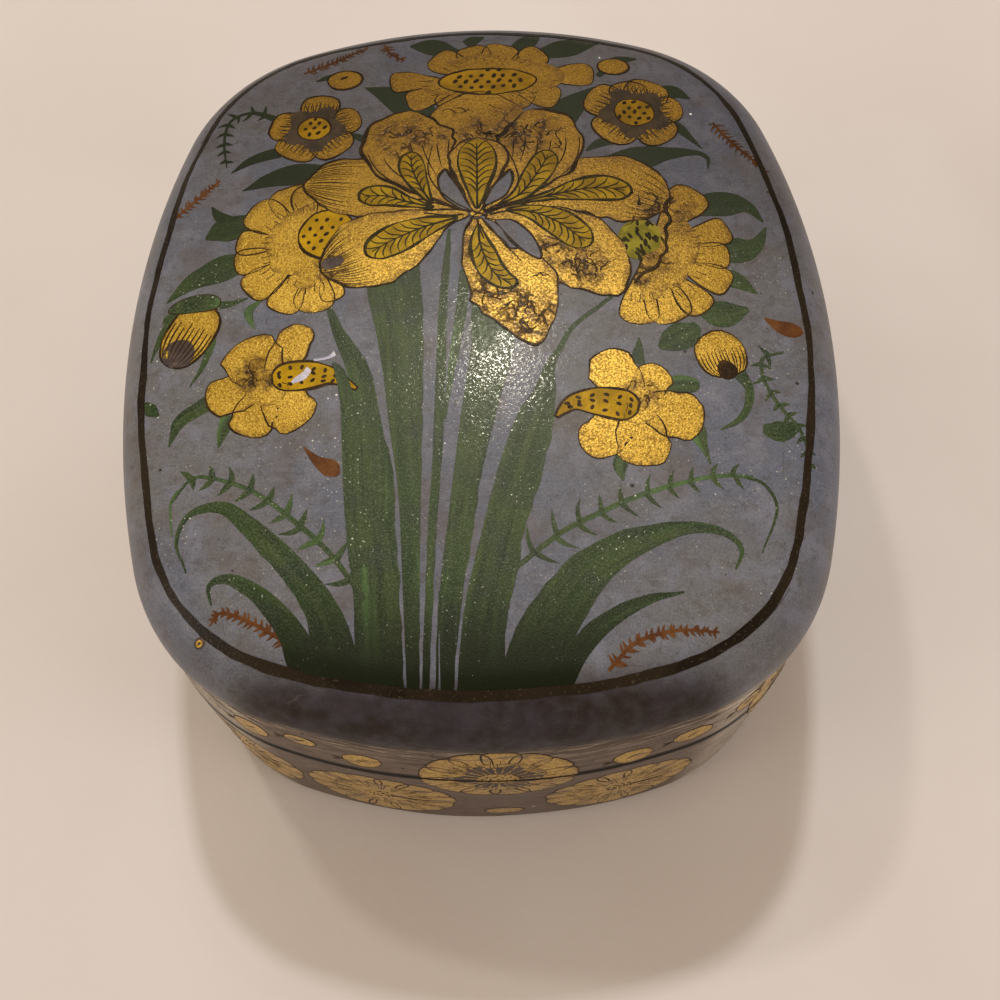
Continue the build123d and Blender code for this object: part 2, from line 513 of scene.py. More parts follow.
def lavender_lacquer(name):
    """Slate-lavender distemper under varnish: matt pigment, glassy top, dust and painted glints in
    the varnish.

    On the walls it is rubbed down to the layers of pressed paper below.
    """
    finish, tree, place = new_finish(name)
    # the pigment's grit and pits are far finer: they are drawn coarse enough to show
    grit = blotches(tree, place, 0.28, 0.40, 0.70, 4.0)
    colour = laid(
        tree, "#595f6d",
        (blotches(tree, place, 26.0, 0.38, 0.62), "#636466"),
        (blotches(tree, place, 5.0, 0.45, 0.72, 5.0), "#6c6f7b"),
        (grit, 0.34, "#8c8786"),
        (blotches(tree, place, 0.36, 0.54, 0.66), 0.34, "#423e3f"),
        (blotches(tree, place, 0.5, 0.56, 0.72, 4.0, (0.06, 1.0, 1.0)), 0.15, "#918c8b"),
        (blotches(tree, place, 7.0, 0.50, 0.70, 8.0), 0.40, "#5a4e44"),
        (blotches(tree, place, 1.5, 0.50, 0.70, 6.0), 0.38, "#4c453f"))
    # darker and browner towards the far right end of the lid: painted shade of the light falling
    # off there
    colour = shaded_far_end(tree, place, colour, -15, 45, "#cdc9ca")

    # the corners of the walls are palest, where the skin faces both ahead and aside: partly rubbed
    # wear, partly painted light from the sides
    normal = add(tree, "TexCoord", out="Normal")
    ahead = add(tree, "SeparateXYZ", {0: normal}, out="Y")
    aside = add(tree, "SeparateXYZ", {0: normal}, out="X")
    aside = add(tree, "Math", {0: aside}, operation="ABSOLUTE")
    corner = where_all(tree, aside, add(tree, "Math", {0: ahead}, operation="ABSOLUTE"))
    corner = add(tree, "MapRange", {0: corner, 1: 0.20, 2: 0.48})
    low = across(tree, place, "Z", 54, 49)
    rubbed = blotches(tree, place, 4.0, 0.28, 0.62, 6.0, (0.4, 0.4, 1.0))
    rubbed = add(tree, "MapRange", {0: rubbed, 3: 0.45, 4: 0.88})
    # paler at the corners: partly rubbed paper, partly painted light
    paper = laid(tree, "#8a7f72", (corner, "#b3a692"))
    scuffed = where_all(
        tree, blotches(tree, place, 0.9, 0.53, 0.64, 6.0, (0.16, 0.16, 1.0)), low)

    # the band of bare paper edges: its layers show as pale and dark level streaks, which are
    # drawn a few times thicker than a sheet of paper is
    level = (0.10, 0.10, 1.0)
    band = where_all(
        tree, across(tree, place, "Z", 36.0, 46.0), across(tree, place, "Z", 55.6, 51.6),
        blotches(tree, place, 1.6, 0.30, 0.50, 5.0, (0.3, 0.3, 1.0)))
    # the bare band is paler at the corners too: partly wear, partly painted light
    bare = laid(tree, "#8f8172", (corner, "#b9ac99"))
    dark = where_all(tree, blotches(tree, place, 0.8, 0.49, 0.57, 8.0, level), band)

    # brown along the front between its corners, where it faces away from the lamps: partly thumb
    # grime where the box is opened, partly painted shade
    turned = add(tree, "Math", {0: aside, 1: 1.6, 2: ahead}, operation="MULTIPLY_ADD")
    front = add(tree, "MapRange", {0: turned, 1: 0.0, 2: -0.42}, interpolation_type="SMOOTHSTEP")
    rub = blotches(tree, place, 2.6, 0.30, 0.70, 9.0)
    grime_and_shade = where_all(tree, front, add(tree, "MapRange", {0: rub, 3: 0.78, 4: 0.94}),
                      add(tree, "MapRange", {0: band, 3: 1.0, 4: 0.78}))
    soot_and_shade = laid(tree, "#24170d", (blotches(tree, place, 7.0, 0.40, 0.60, 6.0), "#2f272c"),
                (low, "#675950"))

    # dark along the seam between lid and base, from just below it to just above: dirt caught in the
    # joint, and painted shade of the gap
    seam_dirt_and_shade = where_all(tree, across(tree, place, "Z", base_height - 1.5, base_height - 0.9),
                     across(tree, place, "Z", base_height + 1.5, base_height + 0.9))
    colour = laid(
        tree, colour,
        (low, rubbed, paper),
        (band, 0.7, bare),
        (blotches(tree, place, 1.1, 0.46, 0.54, 8.0, level), band, "#cabda9"),
        (dark, "#382b21"),
        (blotches(tree, place, 0.7, 0.50, 0.62, 6.0), low, 0.3, "#463a2f"),
        (scuffed, 0.42, "#4c3f33"),
        # the front: grime and painted shade
        (grime_and_shade, soot_and_shade),
        (scuffed, 0.25, "#33281f"),
        # the dark seam: dirt and painted shade of the gap
        (seam_dirt_and_shade, "#1d1611"),
        (specks(tree, place, 1.8, 0.17, 0.40), "#433b34"),
        (specks(tree, place, 4.6, 0.42, 0.30), "#37302a"))
    net = where_all(tree, cracks(tree, place, 9.0, 0.16), blotches(tree, place, 11.0, 0.55, 0.68))
    colour = laid(tree, dusted_and_glinting(tree, place, colour), (net, "#4d4844"))
    dull = add(tree, "Math", {0: band, 1: grime_and_shade}, operation="MAXIMUM")
    rough = add(tree, "MapRange", {0: dull, 3: 0.42, 4: 0.70})
    seal(tree, colour, raised(tree, (grit, 0.006), (dark, 0.25)), dusty_varnish(tree, place),
         roughness=rough, specular=0.22, coat_weight=broken_gloss(tree, place, 0.04, 0.22),
         coat_roughness=0.12)
    return finish


def gold_paint(name):
    """Bronze powder in gum, brushed thin and varnished: grainy, brown where it has crazed.

    The powder is finer than a hair. Its grains are drawn far coarser, so that they show.
    """
    finish, tree, place = new_finish(name)
    brush = add(tree, "Attribute", attribute_name="brush", out="Vector")
    grain = blotches(tree, place, 0.40, 0.42, 0.66, 5.0)
    colour = laid(
        tree, "#b48e26",
        (blotches(tree, place, 8.0, 0.35, 0.65), "#cda537"),
        (grain, 0.62, "#6c490c"),
        (blotches(tree, place, 0.26, 0.50, 0.66, 4.0), 0.80, "#f0cc5c"))
    # darker and browner towards the far right end: painted shade of the light falling off there
    colour = shaded_far_end(tree, place, colour, -8, 36, "#b0a478")
    stained = near_any(tree, place, GOLD_STAINS)
    crazed = where_all(tree, blotches(tree, place, 3.2, 0.44, 0.54), stained)
    net = where_all(tree, cracks(tree, place, 2.8, 0.34), crazed)
    low = across(tree, place, "Z", 55, 53)
    rim = where_all(tree, across(tree, brush, "Z", 0.80, 1.0),
                    blotches(tree, place, 1.2, 0.36, 0.60))
    colour = laid(
        tree, colour,
        (blotches(tree, place, 2.6, 0.38, 0.60, 7.0), stained, 0.72, "#54370a"),
        (blotches(tree, place, 1.8, 0.56, 0.66, 8.0), stained, 0.75, "#2f1d08"),
        (cracks(tree, place, 2.8, 1.1), crazed, 0.6, "#573a0f"),
        (net, "#2a1a08"),
        (blotches(tree, place, 1.6, 0.54, 0.66, 7.0, (0.4, 0.4, 1.0)), low, 0.8, "#5d4c3b"),
        (low, 0.22, "#9b8c78"),
        (rim, 0.8, "#5f4116"))
    whole = add(tree, "Math", {0: 1.0, 1: net}, operation="SUBTRACT")
    rough = add(tree, "MapRange", {0: grain, 3: 0.36, 4: 0.50})
    seal(tree, colour, raised(tree, (grain, 0.02), (whole, 0.06)), roughness=rough,
         metallic=0.4, specular=0.3, coat_weight=0.15, coat_roughness=0.25)
    return finish


def opaque_paint(name, dark, light, size, wear, gloss=0.06):
    """Body colour brushed over the lacquer: a little patchy, worn at its thin places."""
    finish, tree, place = new_finish(name)
    colour = laid(tree, dark, (blotches(tree, place, size, 0.35, 0.65), light),
                  (blotches(tree, place, 0.4, 0.58, 0.75, 2.0), wear))
    # darker and browner towards the far end: painted shade of the light falling off there
    colour = shaded_far_end(tree, place, colour, 0, 40, "#c3bb98")
    skin = raised(tree, (blotches(tree, place, 0.5, 0.35, 0.65), 0.02))
    seal(tree, colour, skin, roughness=0.5, specular=0.12, coat_weight=gloss,
         coat_roughness=0.2)
    return finish


def leaf_paint(name):
    """Green brushed along each leaf: bristle streaks, dark at the root, darker towards the far end
    as painted shade, dust and painted glints in the varnish.

    Bristles leave streaks a few times finer than these, which are coarse enough to show.
    """
    finish, tree, place = new_finish(name)
    brush = add(tree, "Attribute", attribute_name="brush", out="Vector")
    along = (1.0, 0.05, 1.0)
    grain = blotches(tree, place, 0.28, 0.42, 0.70, 4.0)
    colour = laid(
        tree, "#1f3213",
        (blotches(tree, place, 7.0, 0.35, 0.65), "#2b3f19"),
        (blotches(tree, brush, 1.1, 0.38, 0.66, 4.0, along), 0.75, "#3d4c22"),
        (blotches(tree, brush, 0.6, 0.52, 0.66, 5.0, along), 0.45, "#16210a"),
        (blotches(tree, brush, 2.6, 0.54, 0.74, 3.0, along), "#4a6a35"),
        (blotches(tree, place, 4.5, 0.46, 0.70, 7.0), 0.55, "#27322a"),
        (grain, 0.33, "#717a64"),
        (across(tree, place, "Y", -45, -63, "SMOOTHSTEP"), "#141c08"),
        # darker towards the far end: painted shade of the light falling off there
        (across(tree, place, "Y", -2, 28), "#1b2410"))
    seal(tree, dusted_and_glinting(tree, place, colour), raised(tree, (grain, 0.010)),
         dusty_varnish(tree, place), roughness=0.42, specular=0.25,
         coat_weight=broken_gloss(tree, place, 0.03, 0.50), coat_roughness=0.13)
    return finish


def bare_paper(name, dark, light, fibre):
    """Pasted paper washed with colour: soft, dull, with fibres and wrinkles."""
    finish, tree, place = new_finish(name)
    strands = blotches(tree, place, 0.7, 0.55, 0.75, 5.0, (1.0, 1.0, 3.0))
    colour = laid(tree, dark, (blotches(tree, place, 14.0, 0.35, 0.65), light),
                  (strands, fibre))
    skin = raised(tree, (strands, 0.06), (blotches(tree, place, 5.0, 0.3, 0.7), 0.25))
    seal(tree, colour, skin, roughness=0.78)
    return finish


# where the thick gold has crazed and browned: place on the lid and reach, in millimetres
GOLD_STAINS = (
    (3.0, 1.5, 7.0), (9.0, -3.5, 7.5), (33.0, 18.5, 7.0), (30.5, 8.0, 4.5), (27.5, 5.0, 3.5),
    (9.0, 37.5, 9.0), (1.0, 37.0, 5.5), (-23.8, 7.8, 4.0), (-12.5, 36.5, 7.5), (17.0, 7.0, 7.0),
    (-35.0, -13.0, 5.0), (-31.5, -13.0, 4.0), (26.0, -18.0, 4.0), (-5.0, 37.5, 3.0),
    (13.0, 10.5, 4.0), (-1.0, 11.0, 3.5),
)
LACQUER = lavender_lacquer("lavender_lacquer")
INSIDE = bare_paper("black_washed_paper", "#1d1916", "#2b2520", "#4a3f33")
UNDERSIDE = bare_paper("dark_felt_paper", "#2a2420", "#3b332b", "#5d5143")
# the paints, each by the name that the strokes call it
PAINTS = {
    "gold": gold_paint("gold_paint"),
    "yellow": opaque_paint("orpiment_yellow", "#947300", "#b89106", 5.0, "#7c6000"),
    "ink": opaque_paint("brown_ink", "#281b0b", "#3c2a10", 4.0, "#543b14"),
    "leaf": leaf_paint("leaf_green"),
    "ochre": opaque_paint("ochre_yellow", "#8f720c", "#b09114", 2.5, "#6c590e"),
    "vein": opaque_paint("olive_ink", "#241f08", "#38300e", 3.0, "#4d4214"),
    "olive": opaque_paint("olive_green", "#76701a", "#958c28", 2.0, "#5c5a1e"),
    "red": opaque_paint("madder_red", "#543016", "#69421e", 3.0, "#4d2d18"),
    "line": opaque_paint("border_black", "#1c150d", "#2b2216", 12.0, "#43382a", 0.10),
    "smoke": opaque_paint("smoke_grey", "#413937", "#574b45", 3.0, "#6b5a4a"),
    "ground": LACQUER,
    "chalk": opaque_paint("bare_gesso", "#aeaebf", "#c9c7cf", 1.5, "#8f8e9c", 0.1),
}


# ---------------------------------------------------------------- the shells
def crown_side_rows():
    """Rings of the lid's skin: rolled shoulder, upright side, lip and layered edge."""
    rows = [ring(shoulder_radius * (1 - math.sin(turn)), crown_height)
            for turn in np.linspace(0, math.pi / 2, 34)]
    side_top = rows[-1][:, 2]
    lip_top = lip_height + lip_radius
    for share in (0.3, 0.6, 0.85):
        rows.append(ring(0.04, side_top + (lip_top - side_top) * share))
    knocks = [(-2.0, 52.0, 1.6, 1.4, 0.5), (31.0, 52.4, 2.5, 1.2, 0.3),
              (-47.0, 52.2, 2.0, 1.4, 0.35), (perimeter / 2 + 9, 52.0, 2.2, 1.5, 0.4)]
    for turn in np.linspace(0, math.pi / 2, 9):
        drop = lip_radius * math.sin(turn)
        inset = lip_radius * (1 - math.cos(turn)) + layered_edge(lip_top - drop, 0.12, 0.5)
        level = lip_top - drop
        rows.append(ring(np.maximum(inset + lip_settle, 0.02) + dents(level, knocks), level))
    # under the lip, the cut edges of the paper layers
    for level in np.linspace(lip_height - 0.15, crown_bottom, 15):
        inset = ply_inset + layered_edge(level, 0.42, 0.45) + dents(level, knocks)
        rows.append(ring(np.maximum(inset, ply_inset - 0.35), level))
    return rows


def make_crown():
    """The domed crown: skin outside, hollow inside, one closed shell."""
    rows = crown_side_rows()
    rows = cap_rows(rows[0], crown_height, 64) + rows
    skin_rows = len(rows) - 1
    ceiling_roll = shoulder_radius - crown_thickness

    def ceiling(x, y):
        return rolled_height(x, y, ceiling_inset, ceiling_roll, crown_thickness)

    ceiling_rows = [ring(ceiling_inset + ceiling_roll * (1 - math.sin(turn)), ceiling)
                    for turn in np.linspace(0, math.pi / 2, 12)]
    inner = cap_rows(ceiling_rows[0], ceiling, 20) + ceiling_rows
    inner.append(ring(ceiling_inset, crown_bottom))
    points, faces = loft(rows + inner[::-1])
    make_shell("crown_shell", points, faces, skin_rows, "lid", "lid_crown")


def make_shell(name, points, faces, skin_rows, body, *nodes):
    """Make a shell whose first rings are lacquered and the rest is washed paper."""
    piece = make_mesh(name, points, faces, body, LACQUER)
    change_finish(piece, (skin_rows, INSIDE))
    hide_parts(*nodes)


def change_finish(piece, *changes):
    """Give a piece another finish from a row of its faces on, once or more."""
    marks = np.zeros(len(piece.data.polygons), dtype=np.int32)
    for place, (row, finish) in enumerate(changes, start=1):
        piece.data.materials.append(finish)
        marks[row * around_count:] = place
    piece.data.polygons.foreach_set("material_index", marks)


def wall_rows(low, high, levels, rim_low):
    """Rings of a wall's outside, with a worn rim at its lower or its upper edge."""
    rows = []
    for level in levels:
        inset = wall_inset(np.full(1, level))[0] + wall_wave(WALKS, level)
        away = level - low if rim_low else high - level
        bite = max(0.0, rim_radius - away)
        rows.append(ring(inset + rim_radius - math.sqrt(rim_radius**2 - bite**2), level))
    return rows


def close_steps(low, high, fine, steps):
    """Levels from low to high, close together near a worn rim."""
    rim = np.linspace(0, rim_radius, fine)
    return np.concatenate([low + rim, np.linspace(low + rim_radius, high, steps)[1:]])


def make_lid_wall():
    """The strip of wall under the crown: up its outside from the rim, then down its inside."""
    levels = close_steps(base_height, crown_bottom, 6, 22)
    outer = wall_rows(base_height, crown_bottom, levels, True)
    inner = [ring(wall_inner_inset, level) for level in (crown_bottom, base_height + 1.0)]
    inner.append(ring(wall_inner_inset - 0.3, base_height))
    points, faces = loft(outer + inner, closed=True)
    make_shell("lid_wall_shell", points, faces, len(outer), "lid", "lid_wall")


def make_base_wall():
    """The wall of the base, with its worn rim at the top."""
    flipped = floor_thickness + base_height - close_steps(floor_thickness, base_height, 6, 40)
    outer = wall_rows(floor_thickness, base_height, flipped[::-1], False)
    bore = wall_inner_inset + slip_clearance - glue_gap
    inner = [ring(bore, level) for level in (base_height, floor_thickness)]
    points, faces = loft(outer + inner, closed=True)
    make_shell("base_wall_shell", points, faces, len(outer), "base", "base_wall")


def make_base_floor():
    """The bottom board: its underside, its rounded foot, then the inside of the bottom."""
    def hollow(x, y):
        return underside_hollow + unevenness(x, y) - floor_sink

    def flat(x, y):
        return floor_thickness + 0.0 * x

    levels = [foot_radius * (1 - math.cos(turn)) for turn in np.linspace(0, math.pi / 2, 14)]
    outer = [ring(wall_inset(np.full(1, level))[0] + wall_wave(WALKS, level), level)
             for level in levels + [floor_thickness]]
    under = cap_rows(outer[0], hollow, 16)
    board = cap_rows(outer[-1], flat, 16)
    points, faces = loft(under + outer + board[::-1])
    piece = make_mesh("base_floor_shell", points, faces, "base", UNDERSIDE)
    foot_row = len(under) + 1
    change_finish(piece, (foot_row, LACQUER), (foot_row + len(outer) - 2, INSIDE))
    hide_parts("base_floor")


def make_collar():
    """A strip of card, slightly rippled, bevelled at its mouth."""
    lead_in = 0.8
    top = collar_top - lead_in
    outer = [ring(collar_inset + 0.07 + card_ripple(level), level)
             for level in np.linspace(floor_thickness, top, 24)]
    outer.append(ring(collar_inset + lead_in, collar_top))
    mouth = collar_inset + collar_thickness
    inner = [ring(mouth - 0.25, collar_top), ring(mouth, collar_top - 0.3)]
    inner += [ring(mouth - 0.05 * abs(math.sin(level)), level)
              for level in np.linspace(top, floor_thickness, 20)]
    points, faces = loft(outer + inner, closed=True)
    piece = make_mesh("collar_shell", points, faces, "base", INSIDE)
    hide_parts("base_collar")


def card_ripple(level):
    """Slight ripple of the pasted card."""
    return 0.05 * np.sin(WALKS * 2 * math.pi * 11 / perimeter + level / 5)


# ---------------------------------------------------------------- painting
def smooth(places, step, closed=False):
    """A smooth line through given places; a third value, such as a width, eases along."""
    marks = np.array(places, dtype=float)
    if closed:
        marks = np.vstack([marks[-1:], marks, marks[:2]])
    else:
        marks = np.vstack([2 * marks[0] - marks[1], marks, 2 * marks[-1] - marks[-2]])
    pieces = []
    for before, start, stop, after in zip(marks, marks[1:], marks[2:], marks[3:]):
        count = max(2, int(math.ceil(np.hypot(*(stop - start)[:2]) / step)))
        t = (np.arange(count) / count)[:, None]
        pull = (stop - before) * t + (2 * before - 5 * start + 4 * stop - after) * t**2
        pull = pull + (3 * start - before - 3 * stop + after) * t**3
        pieces.append(start + 0.5 * pull)
    line = np.vstack(pieces)
    return line if closed else np.vstack([line, marks[-2:-1]])


def shake(x, y, size, amount):
    """Unsteadiness of the hand: a small signed value that changes slowly over the surface."""
    values = [noise.noise(Vector((a / size, b / size, 3.7))) for a, b in zip(x, y)]
    return amount * np.array(values)


def run_along(line):
    """How far along a line each of its places is."""
    return np.concatenate([[0], np.cumsum(np.hypot(*np.diff(line[:, :2], axis=0).T))])


def at_share(line, share):
    """The places at some shares of a line, from its first place to its last."""
    steps = np.linspace(0, 1, len(line))
    return np.stack([np.interp(share, steps, column) for column in line.T], axis=-1)


def toward(turn):
    """The unit step in a direction."""
    return np.array([math.cos(turn), math.sin(turn)])


def sideways(line):
    """Unit directions to the left of a line, at each of its places."""
    run = np.gradient(line[:, :2], axis=0)
    run /= np.maximum(np.hypot(run[:, 0], run[:, 1]), 1e-9)[:, None]
    return np.stack([-run[:, 1], run[:, 0]], axis=-1)


class Painting:
    """The paint on one surface, gathered colour by colour as flat strokes.

    A stroke's level is its turn: a higher one lies over those before it.
    """

    def __init__(self, name, lay, hold=None):
        self.name, self.lay, self.hold = name, lay, hold
        self.coats = {}

    def patch(self, colour, flat, faces, level, brush):
        """Add one closed slip of paint: a skin, the same skin sunk below, and its edge."""
        points, quads, strokes = self.coats.setdefault(colour, ([], [], []))
        start, count = len(points), len(flat)
        lift = paint_lift + coat_lift * level
        for depth in (lift, lift - paint_depth):
            points.extend([x, y, depth] for x, y in flat)
            strokes.extend(brush)
        seen = {}
        for face in faces:
            quads.append(tuple(start + i for i in face))
            quads.append(tuple(start + count + i for i in reversed(face)))
            for i, j in zip(face, face[1:] + face[:1]):
                seen[(i, j)] = True
        for i, j in seen:
            if (j, i) not in seen:
                quads.append((start + j, start + i, start + count + i, start + count + j))

    def stroke(self, colour, places, level, step=0.8, wobble=0.06):
        """One brush stroke through places of (x, y, width)."""
        line = smooth(places, step)
        x, y, width = line[:, 0], line[:, 1], np.maximum(line[:, 2], 0.06)
        out = sideways(line)
        wave = shake(x, y, 2.3, wobble)
        columns = 2 * max(1, int(math.ceil(width.max() / 3.0))) + 1
        flat, brush = [], []
        run = run_along(line)
        for i in range(len(line)):
            half = width[i] / 2 * (1 + 0.5 * wave[i])
            for share in np.linspace(-1, 1, columns):
                away = half * share + wave[i]
                flat.append((x[i] + out[i, 0] * away, y[i] + out[i, 1] * away))
                brush.append((share * width[i] * MM / 2, run[i] * MM, places[0][0] * 3 * MM))
        faces = []
        for i in range(len(line) - 1):
            for j in range(columns - 1):
                a = i * columns + j
                faces.append((a, a + 1, a + columns + 1, a + columns))
        faces = [tuple(reversed(face)) for face in faces]
        if self.hold:
            flat = self.hold(np.array(flat))
        self.patch(colour, flat, faces, level, brush)

    def blot(self, colour, outline, level, root=None):
        """Fill a closed outline, from its root outwards."""
        outline = np.asarray(outline)
        x, y = outline[:, 0], outline[:, 1]
        if np.sum(x * np.roll(y, -1) - y * np.roll(x, -1)) < 0:
            outline = outline[::-1]
        middle = outline.mean(axis=0) if root is None else np.array(root)
        reach = np.hypot(*(outline - middle).T).max()
        rings = max(2, int(math.ceil(reach / 1.6)))
        flat = [tuple(middle)]
        for k in range(1, rings + 1):
            flat.extend(map(tuple, middle + (outline - middle) * k / rings))
        count = len(outline)
        faces = [(0, 1 + i, 1 + (i + 1) % count) for i in range(count)]
        for k in range(rings - 1):
            a = 1 + k * count
            for i in range(count):
                j = (i + 1) % count
                faces.append((a + i, a + count + i, a + count + j, a + j))
        outward = [0.0] + [k / rings for k in range(1, rings + 1) for _ in range(count)]
        brush = [((px - middle[0]) * MM, (py - middle[1]) * MM, share * MM)
                 for (px, py), share in zip(flat, outward)]
        self.patch(colour, flat, faces, level, brush)

    def edge(self, colour, outline, level, width, gaps=0.0):
        """Draw round a closed outline with a fine brush that lifts here and there."""
        outline = np.asarray(outline)
        closed = np.vstack([outline, outline[:1]])
        press = shake(closed[:, 0] + 40, closed[:, 1], 4.0, 1.0)
        width = np.maximum(width * (1 + 1.1 * press), 0.12)
        width = np.where(press < gaps - 0.6, 0.05, width)
        self.ribbon(colour, np.column_stack([closed, width]), level)

    def ribbon(self, colour, line, level):
        """A thin stroke along a line that is already smooth."""
        out = sideways(line) * line[:, 2:3] / 2
        flat = []
        for i in range(len(line)):
            flat.append(tuple(line[i, :2] + out[i]))
            flat.append(tuple(line[i, :2] - out[i]))
        faces = [(2 * i, 2 * i + 1, 2 * i + 3, 2 * i + 2) for i in range(len(line) - 1)]
        brush = [(0.0, 0.0, 0.0)] * len(flat)
        self.patch(colour, flat, faces, level, brush)

    def finish(self, body, keep=None):
        """Turn each colour into a piece on a body, cut at the levels it may keep."""
        for colour, (points, quads, strokes) in sorted(self.coats.items()):
            flat, faces, brush = points, quads, strokes
            if keep:
                flat, faces, brush = cut_flat(points, quads, strokes, *keep)
            if not faces:
                continue
            flat = np.array(flat)
            laid = self.lay(flat[:, 0], flat[:, 1], flat[:, 2])
            make_mesh(f"{self.name}_{colour}", laid, faces, body,
                      PAINTS[colour], layers={"brush": brush})


def cut_flat(points, quads, strokes, low, high):
    """Cut flat paint off below and above two levels, and close the cuts."""
    cut = bmesh.new()
    layer = cut.verts.layers.float_vector.new("brush")
    corners = []
    for place, stroke in zip(points, strokes):
        corner = cut.verts.new(place)
        corner[layer] = stroke
        corners.append(corner)
    for quad in quads:
        cut.faces.new([corners[i] for i in quad])
    for level, clear in ((low, {"clear_inner": True}), (high, {"clear_outer": True})):
        parts = cut.verts[:] + cut.edges[:] + cut.faces[:]
        done = bmesh.ops.bisect_plane(cut, geom=parts, plane_co=(0, level, 0),
                                      plane_no=(0, 1, 0), **clear)
        rim = [e for e in done["geom_cut"] if isinstance(e, bmesh.types.BMEdge)]
        rim = [e for e in rim if e.is_valid and e.is_boundary]
        if rim:
            bmesh.ops.triangle_fill(cut, edges=rim, use_beauty=True, normal=(0, 1, 0))
    cut.verts.index_update()
    flat = [tuple(v.co) for v in cut.verts]
    brush = [tuple(v[layer]) for v in cut.verts]
    faces = [tuple(v.index for v in face.verts) for face in cut.faces]
    cut.free()
    return flat, faces, brush


# ---------------------------------------------------------------- motifs
def petal_axis(root, tip, bend):
    """A slightly bowed line from a petal's root to its tip."""
    root, tip = np.array(root, dtype=float), np.array(tip, dtype=float)
    run = tip - root
    left = np.array([-run[1], run[0]]) / max(np.hypot(*run), 1e-6)
    t = np.linspace(0, 1, 41)[:, None]
    return root + run * t + left * bend * 4 * t * (1 - t)


def petal_half(t, widest, fullness):
    """Half width of a petal along its axis, as a share of its greatest."""
    eased = np.clip(t, 0, 1) ** (math.log(0.5) / math.log(widest))
    return np.maximum(1 - np.abs(2 * eased - 1) ** fullness, 0.0) ** (1 / fullness)


def unsteady(outline, size, amount):
    """An outline as an unsteady hand draws it."""
    tremble = shake(outline[:, 0], outline[:, 1], size, amount)
    return outline + np.stack([tremble, tremble[::-1]], axis=-1)


def petal_outline(root, tip, width, widest=0.6, fullness=2.0, bend=0.0, frill=0.0, frills=4):
    """Outline of a petal: how wide, where widest, how round, how bowed and how frilled."""
    axis = petal_axis(root, tip, bend)
    out = sideways(axis)
    length = np.hypot(*(axis[-1] - axis[0]))
    count = max(8, int(length / 0.8))
    t = (1 - np.cos(np.linspace(0, math.pi, count + 1))) / 2
    places, lean = at_share(axis, t), at_share(out, t)
    half = petal_half(t, widest, fullness) * width / 2
    sides = []
    for sign in (1, -1):
        wave = 1 + frill * t * np.sin(2 * math.pi * frills * t + sign + root[0])
        sides.append(places + lean * (sign * half * wave)[:, None])
    outline = np.vstack([sides[0], sides[1][-2:0:-1]])
    return unsteady(outline, 3.0, 0.25 if width > 4 else 0.1)


def petal(painting, colour, root, tip, width, level, line=0.38, **shape):
    """A filled petal with an ink line round it."""
    outline = petal_outline(root, tip, width, **shape)
    painting.blot(colour, outline, level)
    if line:
        painting.edge("ink", outline, level + 2, line)


def spine_outline(places, frill=0.0, frills=5):
    """Outline of a round-tipped shape given by a spine of (x, y, width)."""
    line = smooth(places, 0.35)
    t = np.linspace(0, 1, len(line))
    run = run_along(line)
    half = np.maximum(line[:, 2] / 2, 0.05)
    near_tip = np.clip((run[-1] - run) / half, 0, 1)
    half = half * np.sqrt(1 - (1 - near_tip) ** 2)
    sides = []
    for sign in (1, -1):
        wave = 1 + frill * np.sin(2 * math.pi * frills * t + sign * 1.3 + places[0][0])
        sides.append(line[:, :2] + sideways(line) * (sign * wave * half)[:, None])
    outline = np.vstack([sides[0], sides[1][::-1]])
    return unsteady(outline, 2.6, 0.28 if line[:, 2].max() > 8 else 0.12)


def long_petal(painting, colour, places, level, line=0.32, ink="ink", **frill):
    """A petal laid in along a spine, and its ink line."""
    outline = spine_outline(places, **frill)
    middle = np.array(places[len(places) // 2 + 1][:2])
    painting.blot(colour, outline, level, root=middle)
    if line:
        painting.edge(ink, outline, level + 2, line, gaps=0.06)


def fringe(painting, places, level, start, stop, count, line):
    """Fine lines that run along a long petal, between two shares of its length."""
    spine = smooth(places, 0.7)
    out = sideways(spine)
    for share in np.linspace(-0.9, 0.9, count):
        t = np.linspace(start + random.uniform(-0.05, 0.05), stop + random.uniform(-0.04, 0.02), 7)
        middle, lean = at_share(spine, t), at_share(out, t)
        away = middle[:, 2] / 2 * (share + random.uniform(-0.04, 0.04))
        press = line * np.interp(t, [t[0], (t[0] + t[-1]) / 2, t[-1]], [0.3, 1.0, 0.6])
        path = middle[:, :2] + lean * away[:, None]
        painting.ribbon("ink", np.column_stack([path, press]), level)


def crazing(painting, centre, reach, count, level, width):
    """Wandering brown cracks where thick gold has crazed round a place."""
    for _ in range(count):
        turn = random.uniform(0, 2 * math.pi)
        spread = math.sqrt(random.random())
        x = centre[0] + reach[0] * spread * math.cos(turn)
        y = centre[1] + reach[1] * spread * math.sin(turn)
        way, places = random.uniform(0, 2 * math.pi), []
        steps = random.randint(3, 6)
        for k in range(steps + 1):
            wide = width * random.uniform(0.6, 1.5) * (1 - k / (steps + 1))
            places.append((x, y, max(wide, 0.08)))
            way += random.choice((-1, 1)) * random.uniform(0.2, 1.1)
            step = random.uniform(0.35, 1.0)
            x, y = x + step * math.cos(way), y + step * math.sin(way)
        painting.ribbon("ink", np.array(places), level)


def rays(painting, root, tip, width, level, start, stop, count, line, widest, fullness):
    """Fine lines that run along a petal, between two shares of its length."""
    axis = petal_axis(root, tip, 0.0)
    out = sideways(axis)
    for share in np.linspace(-0.86, 0.86, count):
        low = start + random.uniform(-0.05, 0.05)
        high = stop + random.uniform(-0.04, 0.04)
        t = np.linspace(low, high, 7)
        away = petal_half(t, widest, fullness) * width / 2 * (share + random.uniform(-0.03, 0.03))
        path = at_share(axis, t) + at_share(out, t) * away[:, None]
        press = line * np.interp(t, [low, (low + high) / 2, high], [0.5, 1.0, 0.3])
        painting.ribbon("ink", np.column_stack([path, press]), level)


